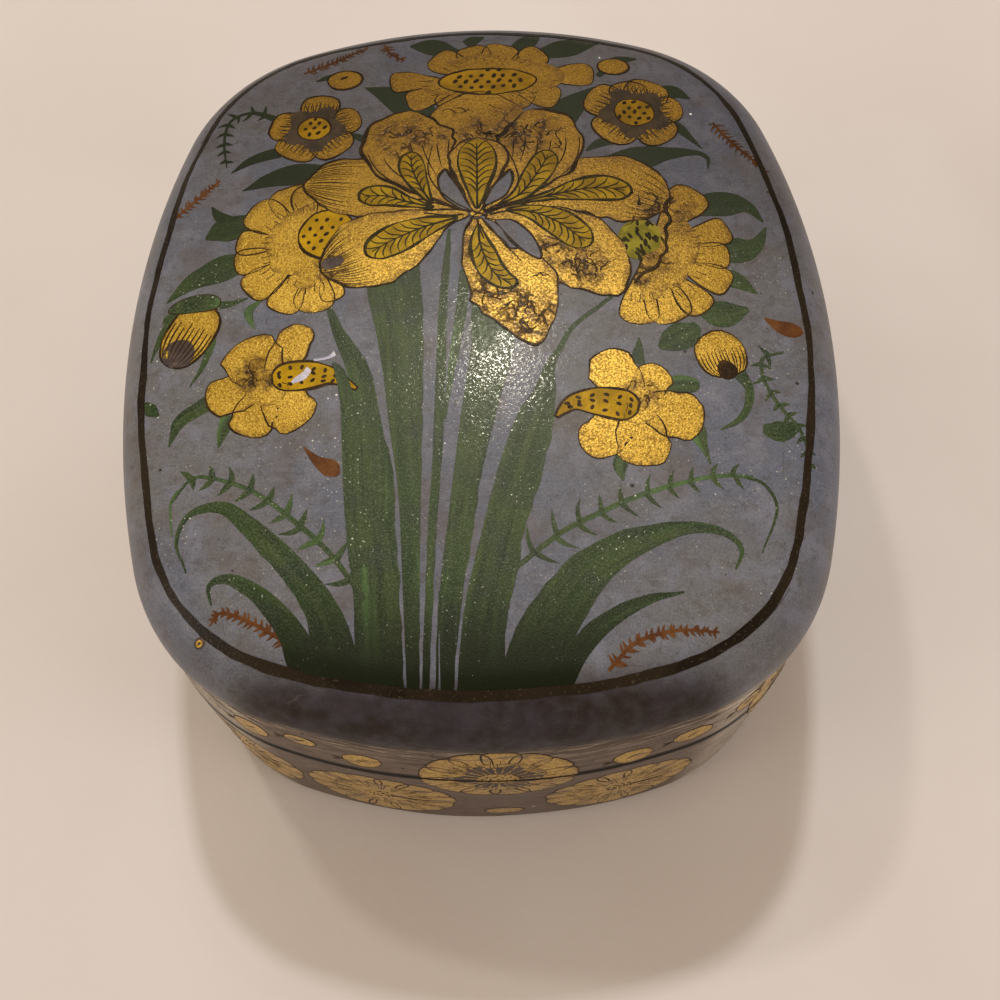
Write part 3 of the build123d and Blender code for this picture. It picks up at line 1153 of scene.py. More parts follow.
def veined_heart(painting, places, level, veins):
    """The yellow leaf-shaped heart of an iris petal, with midrib and side veins."""
    long_petal(painting, "ochre", places, level, line=0.42, ink="vein")
    spine = smooth(places, 0.25)
    out = sideways(spine)
    last = len(spine) - 1
    rib = spine[: int(last * 0.95)].copy()
    rib[:, 2] = np.linspace(0.46, 0.22, len(rib))
    painting.ribbon("vein", rib, level + 2)
    for t in np.linspace(0.24, 0.84, veins):
        for side in (1, -1):
            a, b = int(t * last), int(min(t + 0.12, 0.97) * last)
            foot = spine[a, :2]
            end = spine[b, :2] + out[b] * side * spine[b, 2] / 2 * 0.9
            knee = (foot + end) / 2 + (spine[b, :2] - spine[a, :2]) * 0.28
            path = [(*foot, 0.26), (*knee, 0.28), (*end, 0.12)]
            painting.stroke("vein", path, level + 2, step=0.6, wobble=0.03)


def spots(painting, centre, wide, tall, level, spacing, size):
    """Short dabs set out in rows over an oval."""
    rows = int(tall / spacing) + 1
    for row in range(-rows, rows + 1):
        for k in range(-14, 15):
            x = (k + 0.5 * (row % 2)) * spacing * 1.15 + random.uniform(-0.2, 0.2)
            y = row * spacing * 0.85 + random.uniform(-0.2, 0.2)
            if (2 * x / wide) ** 2 + (2 * y / tall) ** 2 > 0.72:
                continue
            dab(painting, "ink", centre[0] + x, centre[1] + y, size * random.uniform(0.7, 1.2),
                size * 0.7, random.uniform(0.6, 1.6), level)


def dab(painting, colour, x, y, long, short, turn, level):
    """One dab of a small brush."""
    around = np.linspace(0, 2 * math.pi, 12, endpoint=False)
    east, north = np.cos(around) * long / 2, np.sin(around) * short / 2
    outline = np.stack([x + east * math.cos(turn) - north * math.sin(turn),
                        y + east * math.sin(turn) + north * math.cos(turn)], axis=-1)
    painting.blot(colour, outline, level)


def oval(painting, colour, centre, wide, tall, level, line=0.35):
    """An oval filled with colour, and its ink line."""
    x, y = centre
    petal(painting, colour, (x - wide / 2, y), (x + wide / 2, y), tall, level, line=line,
          widest=0.5)


def daisy(painting, centre, lobes, level, within=0.62):
    """A many-petalled flower: each petal by its tip and width, joined over in the middle."""
    centre = np.array(centre, dtype=float)
    inner = []
    for x, y, width in lobes:
        tip = np.array([x, y])
        away = np.hypot(*(tip - centre))
        root = centre + (tip - centre) * 0.12
        petal(painting, "gold", root, tip, width, level, line=0.24,
              widest=max(0.62, 1 - 0.42 * width / away), fullness=2.4)
        inner.append(centre + (tip - centre) * within * random.uniform(0.86, 1.08))
        for share in (-0.28, 0.0, 0.3):
            way = (tip - centre) / away
            side = np.array([-way[1], way[0]])
            foot = centre + way * away * random.uniform(0.52, 0.62) + side * width * share * 0.8
            end = foot + way * away * random.uniform(0.06, 0.14)
            painting.stroke("ink", [(*foot, 0.08), (*end, 0.16)], level + 6, wobble=0.05)
    inner = smooth([(x, y, 1.0) for x, y in inner + [tuple(centre)]], 0.9, closed=True)
    painting.blot("gold", inner[:, :2], level + 4, root=centre)


def even_lobes(centre, reach, count, width):
    """Petal tips and widths of an even daisy."""
    turns = np.radians(np.linspace(4, 364, count, endpoint=False))
    return [(*(centre + toward(turn) * reach), width) for turn in turns]


def round_about(centre, around, reach):
    """An outline round a centre, at a reach that may change with the bearing."""
    return np.stack([centre[0] + reach * np.cos(around), centre[1] + reach * np.sin(around)], -1)


def round_flower(painting, centre, lobes, heart, ring_reach, level):
    """A small flower: round petals, a smoky ring, and a spotted yellow heart."""
    for k, (bearing, reach, width) in enumerate(lobes):
        root, tip = np.array(centre), centre + toward(math.radians(bearing)) * reach
        petal(painting, "gold", root, tip, width, level + k % 3, widest=0.66, fullness=2.3,
              line=0.26)
        rays(painting, root, tip, width, level + 4, 0.5, 0.78, 9, line=0.2, widest=0.66,
             fullness=2.3)
    around = np.radians(np.arange(0, 360, 6))
    torn = ring_reach * (1 + 0.16 * np.sin(around * 5 + centre[0]) + 0.05 * np.sin(around * 23))
    painting.blot("smoke", round_about(centre, around, torn), level + 6)
    for turn in around[::2]:
        way = toward(turn) * ring_reach
        ends = [(*(centre + way * 0.8), 0.4), (*(centre + way * random.uniform(1.05, 1.35)), 0.1)]
        painting.stroke("smoke", ends, level + 6, wobble=0.03)
    oval(painting, "yellow", centre, heart * 2, heart * 1.9, level + 8, line=0.3)
    spots(painting, centre, heart * 2, heart * 1.9, level + 10, spacing=1.5, size=1.05)


def trumpet_flower(painting, centre, lobes, horn, level):
    """A flower seen from the side: round lobes and a spotted horn that points inwards."""
    for k, (x, y, size) in enumerate(lobes):
        away = np.array([x, y]) - np.array(centre)
        reach = np.hypot(*away) + size
        tip = np.array(centre) + away / np.hypot(*away) * reach
        root = np.array(centre) - away / np.hypot(*away) * 0.5
        petal(painting, "gold", root, tip, size * 2.05, level + k, widest=0.64, fullness=2.4,
              line=0.22, frill=0.10, frills=3)
    around = np.radians(np.arange(0, 360, 20))
    painting.blot("gold", round_about(centre, around, 3.4), level + 7)
    crazing(painting, centre, (3.0, 3.0), 2, level + 8, width=0.2)
    line = smooth(horn, 0.7)
    out = sideways(line) * line[:, 2:3] / 2
    outline = np.vstack([line[:, :2] + out, (line[:, :2] - out)[::-1]])
    painting.stroke("yellow", horn, level + 8, wobble=0.02)
    painting.edge("ink", outline, level + 10, 0.36)
    for k in range(3, len(line) - 3, 3):
        for share in (-0.5, 0.0, 0.5):
            if line[k, 2] < 2.0 and share:
                continue
            x, y = line[k, :2] + out[k] * (share + random.uniform(-0.15, 0.15))
            dab(painting, "ink", x, y, 0.95, 0.6, random.uniform(0, 3), level + 10)


def fern(painting, colour, places, spacing, length, width, level):
    """A fern or sprig: a rib, and pairs of thorn-like leaflets that shrink towards its tip."""
    painting.stroke(colour, places, level)
    line = smooth(places, 0.4)
    run = run_along(line)
    ways = np.gradient(line[:, :2], axis=0)
    at = spacing
    while at < run[-1] - spacing * 0.5:
        i = int(np.searchsorted(run, at))
        way = ways[i] / max(np.hypot(*ways[i]), 1e-6)
        shrink = 1 - 0.5 * at / run[-1]
        for side in (1, -1):
            left = np.array([-way[1], way[0]]) * side
            size = length * random.uniform(0.85, 1.15) * shrink
            foot = line[i, :2] + way * random.uniform(-0.3, 0.3)
            knee = foot + (way * 0.18 + left * 0.5) * size
            end = foot + (way * random.uniform(0.3, 0.6) + left * 0.95) * size
            painting.stroke(colour, [(*foot, width), (*knee, width * 0.75), (*end, 0.08)], level,
                            step=0.5, wobble=0.03)
        at += spacing * (0.55 + 0.45 * shrink)


def rosette(painting, centre, reach, count, level, ringed):
    """A round many-petalled flower on the walls, plain or with a smoky ring and stamens."""
    daisy(painting, centre, even_lobes(centre, reach, count, 6.6 * reach / count), level)
    for turn in np.radians(np.arange(0, 360, 360 / count)):
        for spread in (-0.09, 0.0, 0.09):
            way = toward(turn + 0.22 + spread) * reach
            start = centre + way * random.uniform(0.3, 0.42)
            stop = centre + way * random.uniform(0.5, 0.72)
            painting.stroke("ink", [(*start, 0.22), (*stop, 0.08)], level + 6, wobble=0.08)
    if ringed:
        around = np.radians(np.arange(0, 360, 8))
        torn = reach * 0.50 * (1 + 0.13 * np.sin(around * 6 + 1) + 0.05 * np.sin(around * 17))
        painting.blot("smoke", round_about(centre, around, torn), level + 7)
        oval(painting, "gold", centre, reach * 0.55, reach * 0.42, level + 9, line=0.25)
        for turn in around[::2]:
            way = toward(turn) * reach
            start, stop = centre + way * 0.22, centre + way * random.uniform(0.40, 0.56)
            painting.stroke("gold", [(*start, 0.3), (*stop, 0.3)], level + 11, wobble=0.1)
            dab(painting, "gold", stop[0], stop[1], 0.8, 0.6, turn, level + 11)
    spots(painting, centre, reach * 0.5, reach * 0.4, level + 13, spacing=1.1, size=0.6)


# ---------------------------------------------------------------- the top of the lid
def keep_inside(flat):
    """Hold paint back where it would run out past the border line."""
    inset, out_x, out_y = inset_of(flat[:, 0], flat[:, 1])
    back = np.maximum(border_inset - 0.3 - inset, 0)
    return flat - np.stack([out_x * back, out_y * back], axis=-1)


def paint_blades(top):
    """The fan of long leaves that rises from the near border, and two that curl away."""
    for places, level in (
        # the fan, from left to right
        ([(-24.4, 0.8, 0.6), (-23.7, -1.7, 1.2), (-22, -6, 2.1), (-18.9, -12.5, 3.6),
          (-17.6, -18, 4.0), (-17.2, -24, 5.2), (-16.4, -31, 7.2), (-15.9, -40, 7.5),
          (-14.8, -50, 6.9), (-13.9, -66.5, 6.9)], 0),
        ([(-22.9, -11.3, 0.3), (-21.8, -13, 1.6), (-20.4, -18, 2.2), (-19.4, -25, 3.0),
          (-18.6, -36, 3.0), (-17.4, -46, 3.0)], 19),
        ([(-13.8, 9, 8.6), (-13.4, 3, 9.0), (-12.5, -4, 7.8), (-11.6, -13, 6.4),
          (-11, -22, 5.3), (-10.2, -34, 3.5), (-9.8, -46, 2.7), (-9.2, -66.5, 1.7)], 1),
        ([(-4.3, 14.8, 0.4), (-4.6, 9, 1.1), (-5.2, 0, 1.4), (-5.8, -22, 1.6),
          (-6.1, -31, 1.4), (-6.7, -40, 1.3), (-7.6, -66.5, 1.0)], 2),
        ([(-1.6, 6, 1.8), (-2.2, -1, 1.8), (-2.9, -7, 1.6), (-3.8, -13, 1.2),
          (-4.9, -22, 0.3)], 1),
        ([(1.6, 3, 4.0), (2.6, -4, 6.6), (2.8, -9, 7.0), (2.0, -13, 6.4), (0.2, -22, 5.2),
          (-1.3, -31, 4.3), (-2.5, -40, 3.9), (-3.7, -49, 3.5), (-4.3, -58, 2.4),
          (-4.5, -66.5, 1.7)], 2),
        ([(-5.6, -50, 0.3), (-6.0, -66.5, 0.4)], 2),
        ([(24.6, 2.6, 0.5), (20, -1.6, 0.7), (16, -5.2, 0.8), (13.4, -9.6, 1.0),
          (11.8, -13, 1.8), (10.8, -17.6, 3.6), (9.3, -22, 5.7), (7.5, -28, 6.6),
          (5.8, -34, 6.6), (4.0, -40, 6.0), (2.8, -46, 6.6), (1.4, -52, 6.4),
          (0.7, -58, 6.6), (0.3, -66.5, 6.9)], 3),
        # leaves that curl over to the left and to the right
        ([(-19.4, -66.5, 7.4), (-21.2, -57, 6.0), (-23.4, -51.5, 4.8), (-27, -46.6, 4.0),
          (-31, -42.4, 3.6), (-35, -38.6, 2.8), (-39, -35.8, 2.0), (-43.8, -36.6, 1.0),
          (-45.6, -41, 0.6), (-43.6, -46, 0.25)], 4),
        ([(-22.6, -66.0, 6.6), (-26.2, -57.5, 4.4), (-29.5, -52.6, 3.2), (-33, -49.4, 2.5),
          (-37, -47.3, 1.7), (-39.9, -48.2, 0.8), (-39.4, -51.2, 0.2)], 5),
        ([(6.6, -67, 8.2), (8.7, -58.4, 8.0), (11.8, -52.8, 7.6), (16.4, -47, 6.2),
          (21.8, -43.2, 4.8), (27.8, -41.0, 3.0), (32, -40.2, 1.9), (36.8, -41.0, 1.1),
          (39, -43.6, 0.7), (37.8, -46.6, 0.25)], 4),
        ([(11.2, -64.0, 3.6), (14.0, -59.0, 3.4), (17.6, -55.3, 2.8), (21.2, -52.9, 2.2),
          (25.4, -51.1, 1.3), (30.0, -50.2, 0.25)], 5),
    ):
        top.stroke("leaf", places, level, step=1.2, wobble=0.12)


def paint_small_leaves(top):
    """Small leaves, tucked behind the flowers."""
    for places in (
        # behind the far daisy
        [(-20, 50, 0.3), (-15.5, 47.5, 4.5), (-11, 43.5, 6.5), (-8, 40, 5)],
        [(22, 48.5, 0.3), (18.5, 44.5, 4.5), (15.5, 41, 6.5), (13, 38, 4)],
        [(-12, 61, 0.6), (-8, 60.6, 4.6), (-3, 58.5, 2)],
        [(-1.5, 61, 2.2), (0, 62, 2.6), (2, 63, 0.6)],
        [(8, 59, 3), (10.5, 61.5, 3.6), (12.4, 63, 0.8)],
        [(12, 57.6, 2.5), (18, 59.6, 5), (23.5, 61, 0.5)],
        # between the left daisy and the round flower beyond it
        [(-41, 26, 0.2), (-36, 28.2, 3.5), (-31, 29, 5), (-26, 28.5, 4)],
        [(-43.5, 30.5, 0.2), (-40, 33.2, 2.0), (-35, 34.7, 2.6)],
        # round the left daisy
        [(-46.6, 15.6, 0.6), (-43.5, 17.2, 5.2), (-39, 18.2, 4.6)],
        [(-42, 18.5, 3.0), (-45.0, 20.8, 1.8), (-46.2, 22.8, 0.3)],
        [(-52, 2.5, 0.2), (-48, 6.5, 3.4), (-43, 8.8, 5.4), (-38.5, 10.5, 3.6)],
        [(-35.8, 1.6, 0.5), (-37.6, -0.6, 1.6), (-36.3, -4, 0.2)],
        # under the left trumpet flower, and a scrap on the border
        [(-48.5, -25, 0.2), (-47, -20.5, 2.2), (-42, -17, 2.8)],
        [(-39.2, -20, 2.4), (-40, -23, 1.8), (-40.5, -25.6, 0.2)],
        [(-53.6, -16.4, 0.6), (-52.3, -18, 2.2), (-50.8, -19.3, 0.4)],
        # beside the left round flower
        [(-22.8, 38.4, 0.3), (-20.5, 37, 1.6), (-17.5, 35, 2.2)],
        # curling over beyond the right daisy
        [(24, 29.6, 3.4), (29, 30.7, 5.5), (34, 32, 3.2), (39, 32.4, 1.3), (41.2, 31, 0.8),
         (41, 28.6, 0.2)],
        # round the right daisy
        [(38, 19.6, 4), (43, 20.6, 5.5), (47, 20, 2.6), (49.2, 16.8, 0.3)],
        [(40, 10, 4), (44.5, 10.5, 5), (47.5, 12, 2.6), (49.6, 15.6, 0.3)],
        [(39, 4.8, 2.5), (43, 4.3, 3.4), (46.4, 1.6, 0.3)],
        [(35.6, -1.4, 1), (40, -2.6, 5.4), (44.6, -1.6, 0.8)],
        # round the right trumpet flower
        [(29.4, -9.4, 0.9), (31.4, -8, 4.4), (34, -6.6, 4.8), (36, -5, 1.5)],
        [(26.3, -7.5, 0.2), (26.0, -9.8, 1.6), (25.5, -12.4, 2.6)],
        [(28.8, -16.8, 2.4), (32.2, -16.1, 3.5), (34.4, -16.1, 2.6), (35.2, -16.2, 1.2)],
        [(34.3, -22.4, 1.6), (34.2, -24.7, 2.8), (34.9, -27, 1.3), (35.6, -29.9, 0.2)],
        [(22.8, -28, 1.8), (21.8, -30.2, 2.2), (22.2, -32.8, 0.2)],
        # the stalk of the right bud
        [(41.6, -13.6, 2.4), (43.0, -16.4, 1.5), (42.5, -19.6, 1.3), (40.9, -22.1, 1.0),
         (37.8, -23.9, 0.3)],
        # round the right round flower
        [(34, 40.5, 2.6), (37, 38, 2), (40.4, 33.4, 0.2)],
        [(19.8, 32.2, 0.3), (22, 34, 1.8), (26, 35.5, 2)],
        [(33, 46.5, 3), (36.5, 47.6, 3.4), (39.5, 46, 0.4)],
        # the stalk and sepals of the left bud
        [(-52.0, -2.0, 0.2), (-51, -0.4, 1.4), (-46, 1.0, 2.2), (-41, 1.4, 1.2),
         (-38, 2.4, 0.25)],
        [(-46, 0.5, 2.2), (-43.4, -5, 1.5), (-44.2, -10, 1.0), (-46.2, -14.4, 0.2)],
        [(-49.5, 0.2, 1.6), (-52, -4, 1.3), (-53.4, -9, 0.2)],
        # beside the two berries
        [(-29.5, 52.6, 0.3), (-27, 53.4, 1.6), (-23.5, 52.5, 2)],
        [(23, 51.5, 1.0), (26.5, 55.6, 2.4), (30.5, 56.4, 0.4)],
    ):
        top.stroke("leaf", places, 3, step=0.8, wobble=0.12)


def paint_ferns(top):
    """Green ferns, and red sprigs and drops."""
    green = [
        # a long one to each side of the fan
        ([(-16.5, -51, 0.9), (-22.4, -43.3, 0.8), (-28.8, -37.5, 0.8), (-34.8, -33.1, 0.7),
          (-41.3, -30.7, 0.6), (-44.4, -30.9, 0.5), (-47, -34.5, 0.4)], 3.9, 3.9, 1.1),
        ([(5, -47, 0.8), (12, -41.4, 0.8), (18, -38.1, 0.8), (24.1, -35.3, 0.8),
          (31.6, -32.9, 0.7), (37.1, -31.8, 0.6), (41.9, -31.9, 0.5)], 4.2, 3.9, 0.85),
        # two short ones, by the right border and at the far left
        ([(49.4, -9.6, 0.4), (45.8, -11, 0.6), (45.6, -15, 0.6), (47.4, -19.4, 0.6),
          (50.4, -24.2, 0.5), (51.2, -30.4, 0.2)], 2.6, 2.3, 0.8),
        ([(-36, 43, 1.6), (-41, 45.4, 0.8), (-45, 43.6, 0.6), (-45.6, 38, 0.5),
          (-44.5, 32, 0.25)], 2.8, 2.3, 0.8),
    ]
    for places, spacing, length, width in green:
        fern(top, "leaf", places, spacing, length, width, 2)
    top.stroke("leaf", [(40.4, -31.9, 0.4), (43.4, -33, 0.5), (45, -37, 0.45), (42, -44, 0.2)], 2)
    top.stroke("leaf", [(-46.2, -32.6, 0.4), (-47.2, -35, 0.4), (-46.4, -40, 0.2)], 2)
    top.stroke("leaf", [(44.4, -23.6, 1.6), (47, -24, 3.6), (50, -23, 1.4)], 2)
    red = [
        # one at each near corner
        [(-27.0, -57.6, 0.5), (-33, -54.1, 0.6), (-37.7, -52.4, 0.5), (-39.4, -54.2, 0.2)],
        [(18.4, -61.6, 0.5), (22.6, -57.6, 0.6), (28.4, -55.9, 0.5), (34.6, -56, 0.3)],
        # one by the right border, one by the left, two at the far end
        [(43, 40, 0.4), (46, 35, 0.6), (51.4, 28.6, 0.3)],
        [(-53, 21, 0.4), (-49, 25, 0.5), (-45.4, 29, 0.3)],
        [(-32, 55, 0.4), (-26, 57.8, 0.5), (-20, 61.6, 0.3)],
        [(-17, 62, 0.4), (-15.6, 59, 0.5), (-13, 57, 0.3)],
    ]
    for places in red:
        fern(top, "red", places, 0.95, 1.5, 0.5, 2)
    top.stroke("red", [(-26.8, -26.2, 0.2), (-24.6, -28.6, 1.6), (-22.4, -30, 3.0),
                       (-21.2, -31.2, 0.8)], 2)
    top.stroke("red", [(47, -3.2, 0.3), (49.4, -4.8, 2.4), (51.6, -5.4, 2.8),
                       (53, -5.2, 1.0)], 2)


def paint_outer_flowers(top):
    """Daisies, round flowers, trumpet flowers and buds round the iris."""
    # the far daisy
    daisy(top, (2.6, 50.6), [(-15.6, 51, 5.6), (-12.2, 45.2, 5.6), (15.6, 45.2, 6.0),
                             (22.3, 52.2, 6.2), (13.2, 58.4, 6.0), (-7.6, 57.6, 6.6),
                             (-0.9, 60.2, 6.4), (5.8, 60.6, 6.8), (10, 43.6, 6), (-6, 43.4, 6)],
          6, within=0.7)
    oval(top, "yellow", (2.6, 50.4), 18, 7.0, 12)
    spots(top, (2.6, 50.4), 18.4, 7.4, 14, spacing=1.75, size=1.2)
    # the left daisy
    daisy(top, (-27, 12.5), [(-28.4, 26.4, 8.0), (-33, 26, 8.4), (-38.9, 21.8, 7.4),
                             (-41, 14.4, 5.4), (-40.8, 9.6, 5.4), (-38.4, 3.2, 6.6),
                             (-23.2, 0.8, 4.2), (-32.4, -1.0, 6.0), (-26.6, -1.3, 6.6)], 6)
    oval(top, "yellow", (-25.2, 14.8), 10, 10.4, 12, line=0.45)
    spots(top, (-25.2, 14.8), 10.2, 10.6, 14, spacing=1.8, size=1.0)
    # the right daisy
    daisy(top, (28, 10), [(38.4, 23.4, 7.4), (43.2, 14.9, 5.8), (42.8, 9.2, 5.4),
                          (42.2, 3.2, 5.8), (37.6, -2.2, 5.8), (26.4, -4.9, 6.4),
                          (32.3, -4.4, 7.6)], 6)
    # its green heart, stippled in olive ink
    long_petal(top, "olive", [(25.6, 8.6, 3.0), (26.6, 11, 6.0), (28.4, 13.4, 7.2),
                              (30.4, 15.8, 4.6)], 12, line=0.0)
    for _ in range(26):
        up, over = random.random(), random.uniform(-1, 1)
        dab(top, "vein", 25.8 + 4.6 * up + 2.6 * over, 9.4 + 6.2 * up - 1.6 * over,
            random.uniform(0.9, 1.9), random.uniform(0.45, 0.8), random.uniform(1.4, 2.3), 14)
    # a long crack through it
    crack = [(34.1, 21.7, 0.7), (33.1, 19.2, 1.1), (33.3, 17.2, 0.6), (32.5, 14.8, 0.7),
             (32.3, 11.7, 0.5), (31.6, 8.6, 0.6), (29.2, 6.0, 0.7), (26.9, 4.6, 0.5),
             (26.2, 3.2, 0.3)]
    top.stroke("ink", crack, 24, step=0.5, wobble=0.7)

    # round flowers: petals by bearing in degrees, reach and width
    round_flower(top, (-29, 40), [(82, 8.6, 7.2), (14, 8.8, 6.6), (-50, 8.6, 8.0),
                                  (-122, 8.4, 8.2), (170, 8.4, 7.2)], 3.1, 5.2, 6)
    round_flower(top, (29, 42), [(64, 9.0, 8.4), (10, 9.0, 6.6), (-52, 9.0, 8.0),
                                 (-132, 9.0, 8.4), (150, 9.4, 8.4), (96, 8.0, 7.0)], 3.6, 5.8, 6)

    # trumpet flowers: lobes by place and size, then the horn
    trumpet_flower(top, (-33.3, -15.3), [(-35.2, -20.6, 3.5), (-40, -16.4, 3.4),
                                         (-29.6, -19.4, 3.9), (-29.3, -6.5, 3.0),
                                         (-35.8, -10.4, 4.7)],
                   [(-32.6, -13.8, 1.6), (-31.9, -13.7, 3.8), (-30.2, -13.5, 5.2),
                    (-26.6, -13.4, 5.1), (-23.1, -13.7, 3.0), (-20.8, -15.0, 1.6),
                    (-18.9, -16.2, 0.6)], 6)
    trumpet_flower(top, (25.1, -19.8), [(19.2, -25.6, 3.4), (27.9, -15.2, 2.8),
                                        (25.6, -26.4, 4.0), (31.4, -21.6, 4.0),
                                        (21.8, -13.6, 3.8)],
                   [(25.3, -20.3, 1.8), (24.5, -20.1, 4.0), (22.8, -19.8, 5.4),
                    (18.9, -19.2, 4.8), (15.5, -19.3, 2.8), (13.6, -20.6, 1.6),
                    (12.5, -21.9, 0.5)], 6)
    # a scratch on the left trumpet has taken the paint off
    for places in ([(-29.2, -14.8, 0.5), (-27.9, -13.6, 1.4), (-26.6, -12.3, 1.0)],
                   [(-26, -10.8, 0.4), (-24.2, -10.3, 0.5), (-22.6, -9.6, 0.9)]):
        top.stroke("chalk", places, 18, step=0.4, wobble=0.5)

    # the big bud at the left, with a smoky tip and a green collar
    root, tip, shape = (-44.6, 1.2), (-50, -10.4), {"widest": 0.45, "fullness": 2.2}
    petal(top, "gold", root, tip, 8.4, 6, **shape)
    petal(top, "smoke", (-47.2, -5.4), (-50.2, -10.4), 5.6, 8, line=0, widest=0.55)
    rays(top, root, tip, 8.4, 10, 0.35, 0.9, 9, line=0.35, **shape)
    petal(top, "leaf", (-42.6, 1.6), (-51.4, 0.6), 3.6, 9, line=0.25, widest=0.4, bend=-0.8)
    # the round bud at the right, dark at its root
    root, tip, shape = (40.2, -14.5), (38.1, -6.2), {"widest": 0.5, "fullness": 2.4}
    petal(top, "gold", root, tip, 8.0, 6, line=0.25, **shape)
    rays(top, root, tip, 8.0, 8, 0.10, 0.60, 12, line=0.24, **shape)
    petal(top, "ink", (40.6, -14.8), (39.0, -11.6), 3.2, 9, line=0, widest=0.4)
    # two berries at the far end
    oval(top, "gold", (-24, 52.5), 6.6, 5.2, 6)
    dab(top, "ink", -24.2, 53, 1.6, 0.7, 0.4, 8)
    oval(top, "gold", (26, 54.2), 5.8, 4.4, 6)


def paint_iris(top):
    """The large gold iris in the middle, petal over petal, with its veined hearts.

    Each petal is a spine of places on the lid with the petal's width there.
    """
    behind = [(0.5, 30, 14), (0.8, 38, 18), (1, 43, 17.6), (1.2, 46.4, 12), (1.3, 47.8, 4)]
    left = [(-3, 19.5, 2), (-12, 22.5, 9), (-19, 24.8, 13), (-25, 26, 11.4), (-28.6, 26.3, 6.6),
            (-30, 26.5, 1.6)]
    right = [(4, 19.5, 2), (12, 22, 7), (19, 24, 12.6), (25.5, 23.4, 14.6), (30.6, 21.2, 11.4),
             (33.4, 19.6, 4)]
    high_left = [(-1, 18.6, 1), (-6, 24, 6), (-10.5, 31, 15), (-12, 37, 16.4), (-12, 41, 12.4),
                 (-11.8, 43, 4)]
    high_right = [(2, 18.6, 1), (6.5, 24, 6), (10.8, 31, 14.6), (11.5, 36.5, 15.2),
                  (10.5, 40, 11.6), (9.2, 42.2, 3.6)]
    low_left = [(-1, 18, 0.8), (-6, 16.8, 5), (-12, 13.5, 12.4), (-17.5, 10.8, 15.4),
                (-22, 8.6, 12.4), (-25, 7.4, 6), (-26, 7, 1.2)]
    low_right = [(2, 17.4, 1), (7, 17.2, 5), (12, 14, 12), (17, 10, 15.2), (20.6, 5.8, 12),
                 (22.8, 2, 6), (23.4, 0.6, 1.6)]
    hanging = [(0.4, 16.8, 1.6), (0.9, 12.5, 6), (2.4, 8, 9.4), (5.4, 4.2, 14.6),
               (7.4, 0.4, 13.6), (8.5, -3.2, 10.2), (9.3, -6.4, 6.0), (9.8, -9, 2)]
    upright = [(0.5, 17.6, 0.8), (0.5, 21, 3.4), (0.6, 26, 7.6), (0.7, 31, 10.6), (0.6, 34, 9.8),
               (0.5, 35.6, 8.4)]
    long_petal(top, "gold", behind, 12, line=0.2)
    crazing(top, (1, 42), (6, 2.6), 4, 15, width=0.3)
    long_petal(top, "gold", left, 14, frill=0.02)
    fringe(top, left, 17, 0.66, 0.95, 22, line=0.18)
    long_petal(top, "gold", right, 14, frill=0.03)
    fringe(top, right, 17, 0.78, 0.95, 10, line=0.18)
    crazing(top, (30, 18.5), (3.6, 4.2), 8, 17, width=0.42)
    long_petal(top, "gold", high_left, 18, line=0.55, frill=0.03, frills=6)
    fringe(top, high_left, 21, 0.40, 0.66, 7, line=0.3)
    crazing(top, (-12, 36), (5, 4.2), 4, 21, width=0.36)
    long_petal(top, "gold", high_right, 18, line=0.6, frill=0.04, frills=6)
    fringe(top, high_right, 21, 0.45, 0.72, 7, line=0.28)
    crazing(top, (9, 37), (4, 3.6), 8, 21, width=0.42)
    crazing(top, (15.5, 33), (1.8, 3.2), 3, 21, width=0.32)
    long_petal(top, "gold", low_left, 22, frill=0.02)
    fringe(top, low_left, 25, 0.72, 0.96, 22, line=0.18)
    petal(top, "smoke", (-25.8, 8.0), (-22.0, 9.0), 2.4, 26, line=0, widest=0.4)
    long_petal(top, "gold", low_right, 22, frill=0.03)
    crazing(top, (18.5, 6.6), (3.6, 3.2), 7, 25, width=0.36)
    long_petal(top, "gold", hanging, 26, line=0.3, frill=0.03)
    crazing(top, (7.2, -2.4), (2.8, 3.0), 8, 29, width=0.48)
    crazing(top, (0.6, 4.4), (0.9, 1.6), 3, 29, width=0.4)
    crazing(top, (10.4, 4.4), (1.2, 1.6), 2, 29, width=0.3)
    long_petal(top, "gold", upright, 26, line=0.42, frill=0.02)
    crazing(top, (1.4, 37), (2.0, 0.9), 4, 29, width=0.36)

    # the lacquer left showing between the petals
    for places in (
        [(-5.0, 28.2, 0.4), (-5.1, 26, 2.4), (-4.0, 22.8, 3.2), (-2.0, 20, 1.8), (-0.3, 18.6, 0.3)],
        [(6.3, 27.6, 0.4), (5.7, 25.6, 2.2), (4.2, 22.8, 2.8), (2.6, 20.8, 1.6), (1.7, 19.8, 0.3)],
        [(3.6, 16.2, 0.4), (5.8, 15.0, 2.8), (8.2, 12.2, 3.4), (10.2, 9.4, 2.0), (10.9, 8, 0.4)],
    ):
        long_petal(top, "ground", places, 31, line=0.4)

    # the throat, where the petals meet
    dab(top, "gold", 0.5, 18.0, 2.4, 1.5, 0.2, 38)
    top.stroke("ink", [(-1.2, 18.9, 0.25), (0.5, 18.1, 0.5), (2.3, 17.4, 0.25)], 40)
    top.stroke("ink", [(-0.7, 17.0, 0.2), (0.5, 18.0, 0.4), (1.7, 19.1, 0.2)], 40)
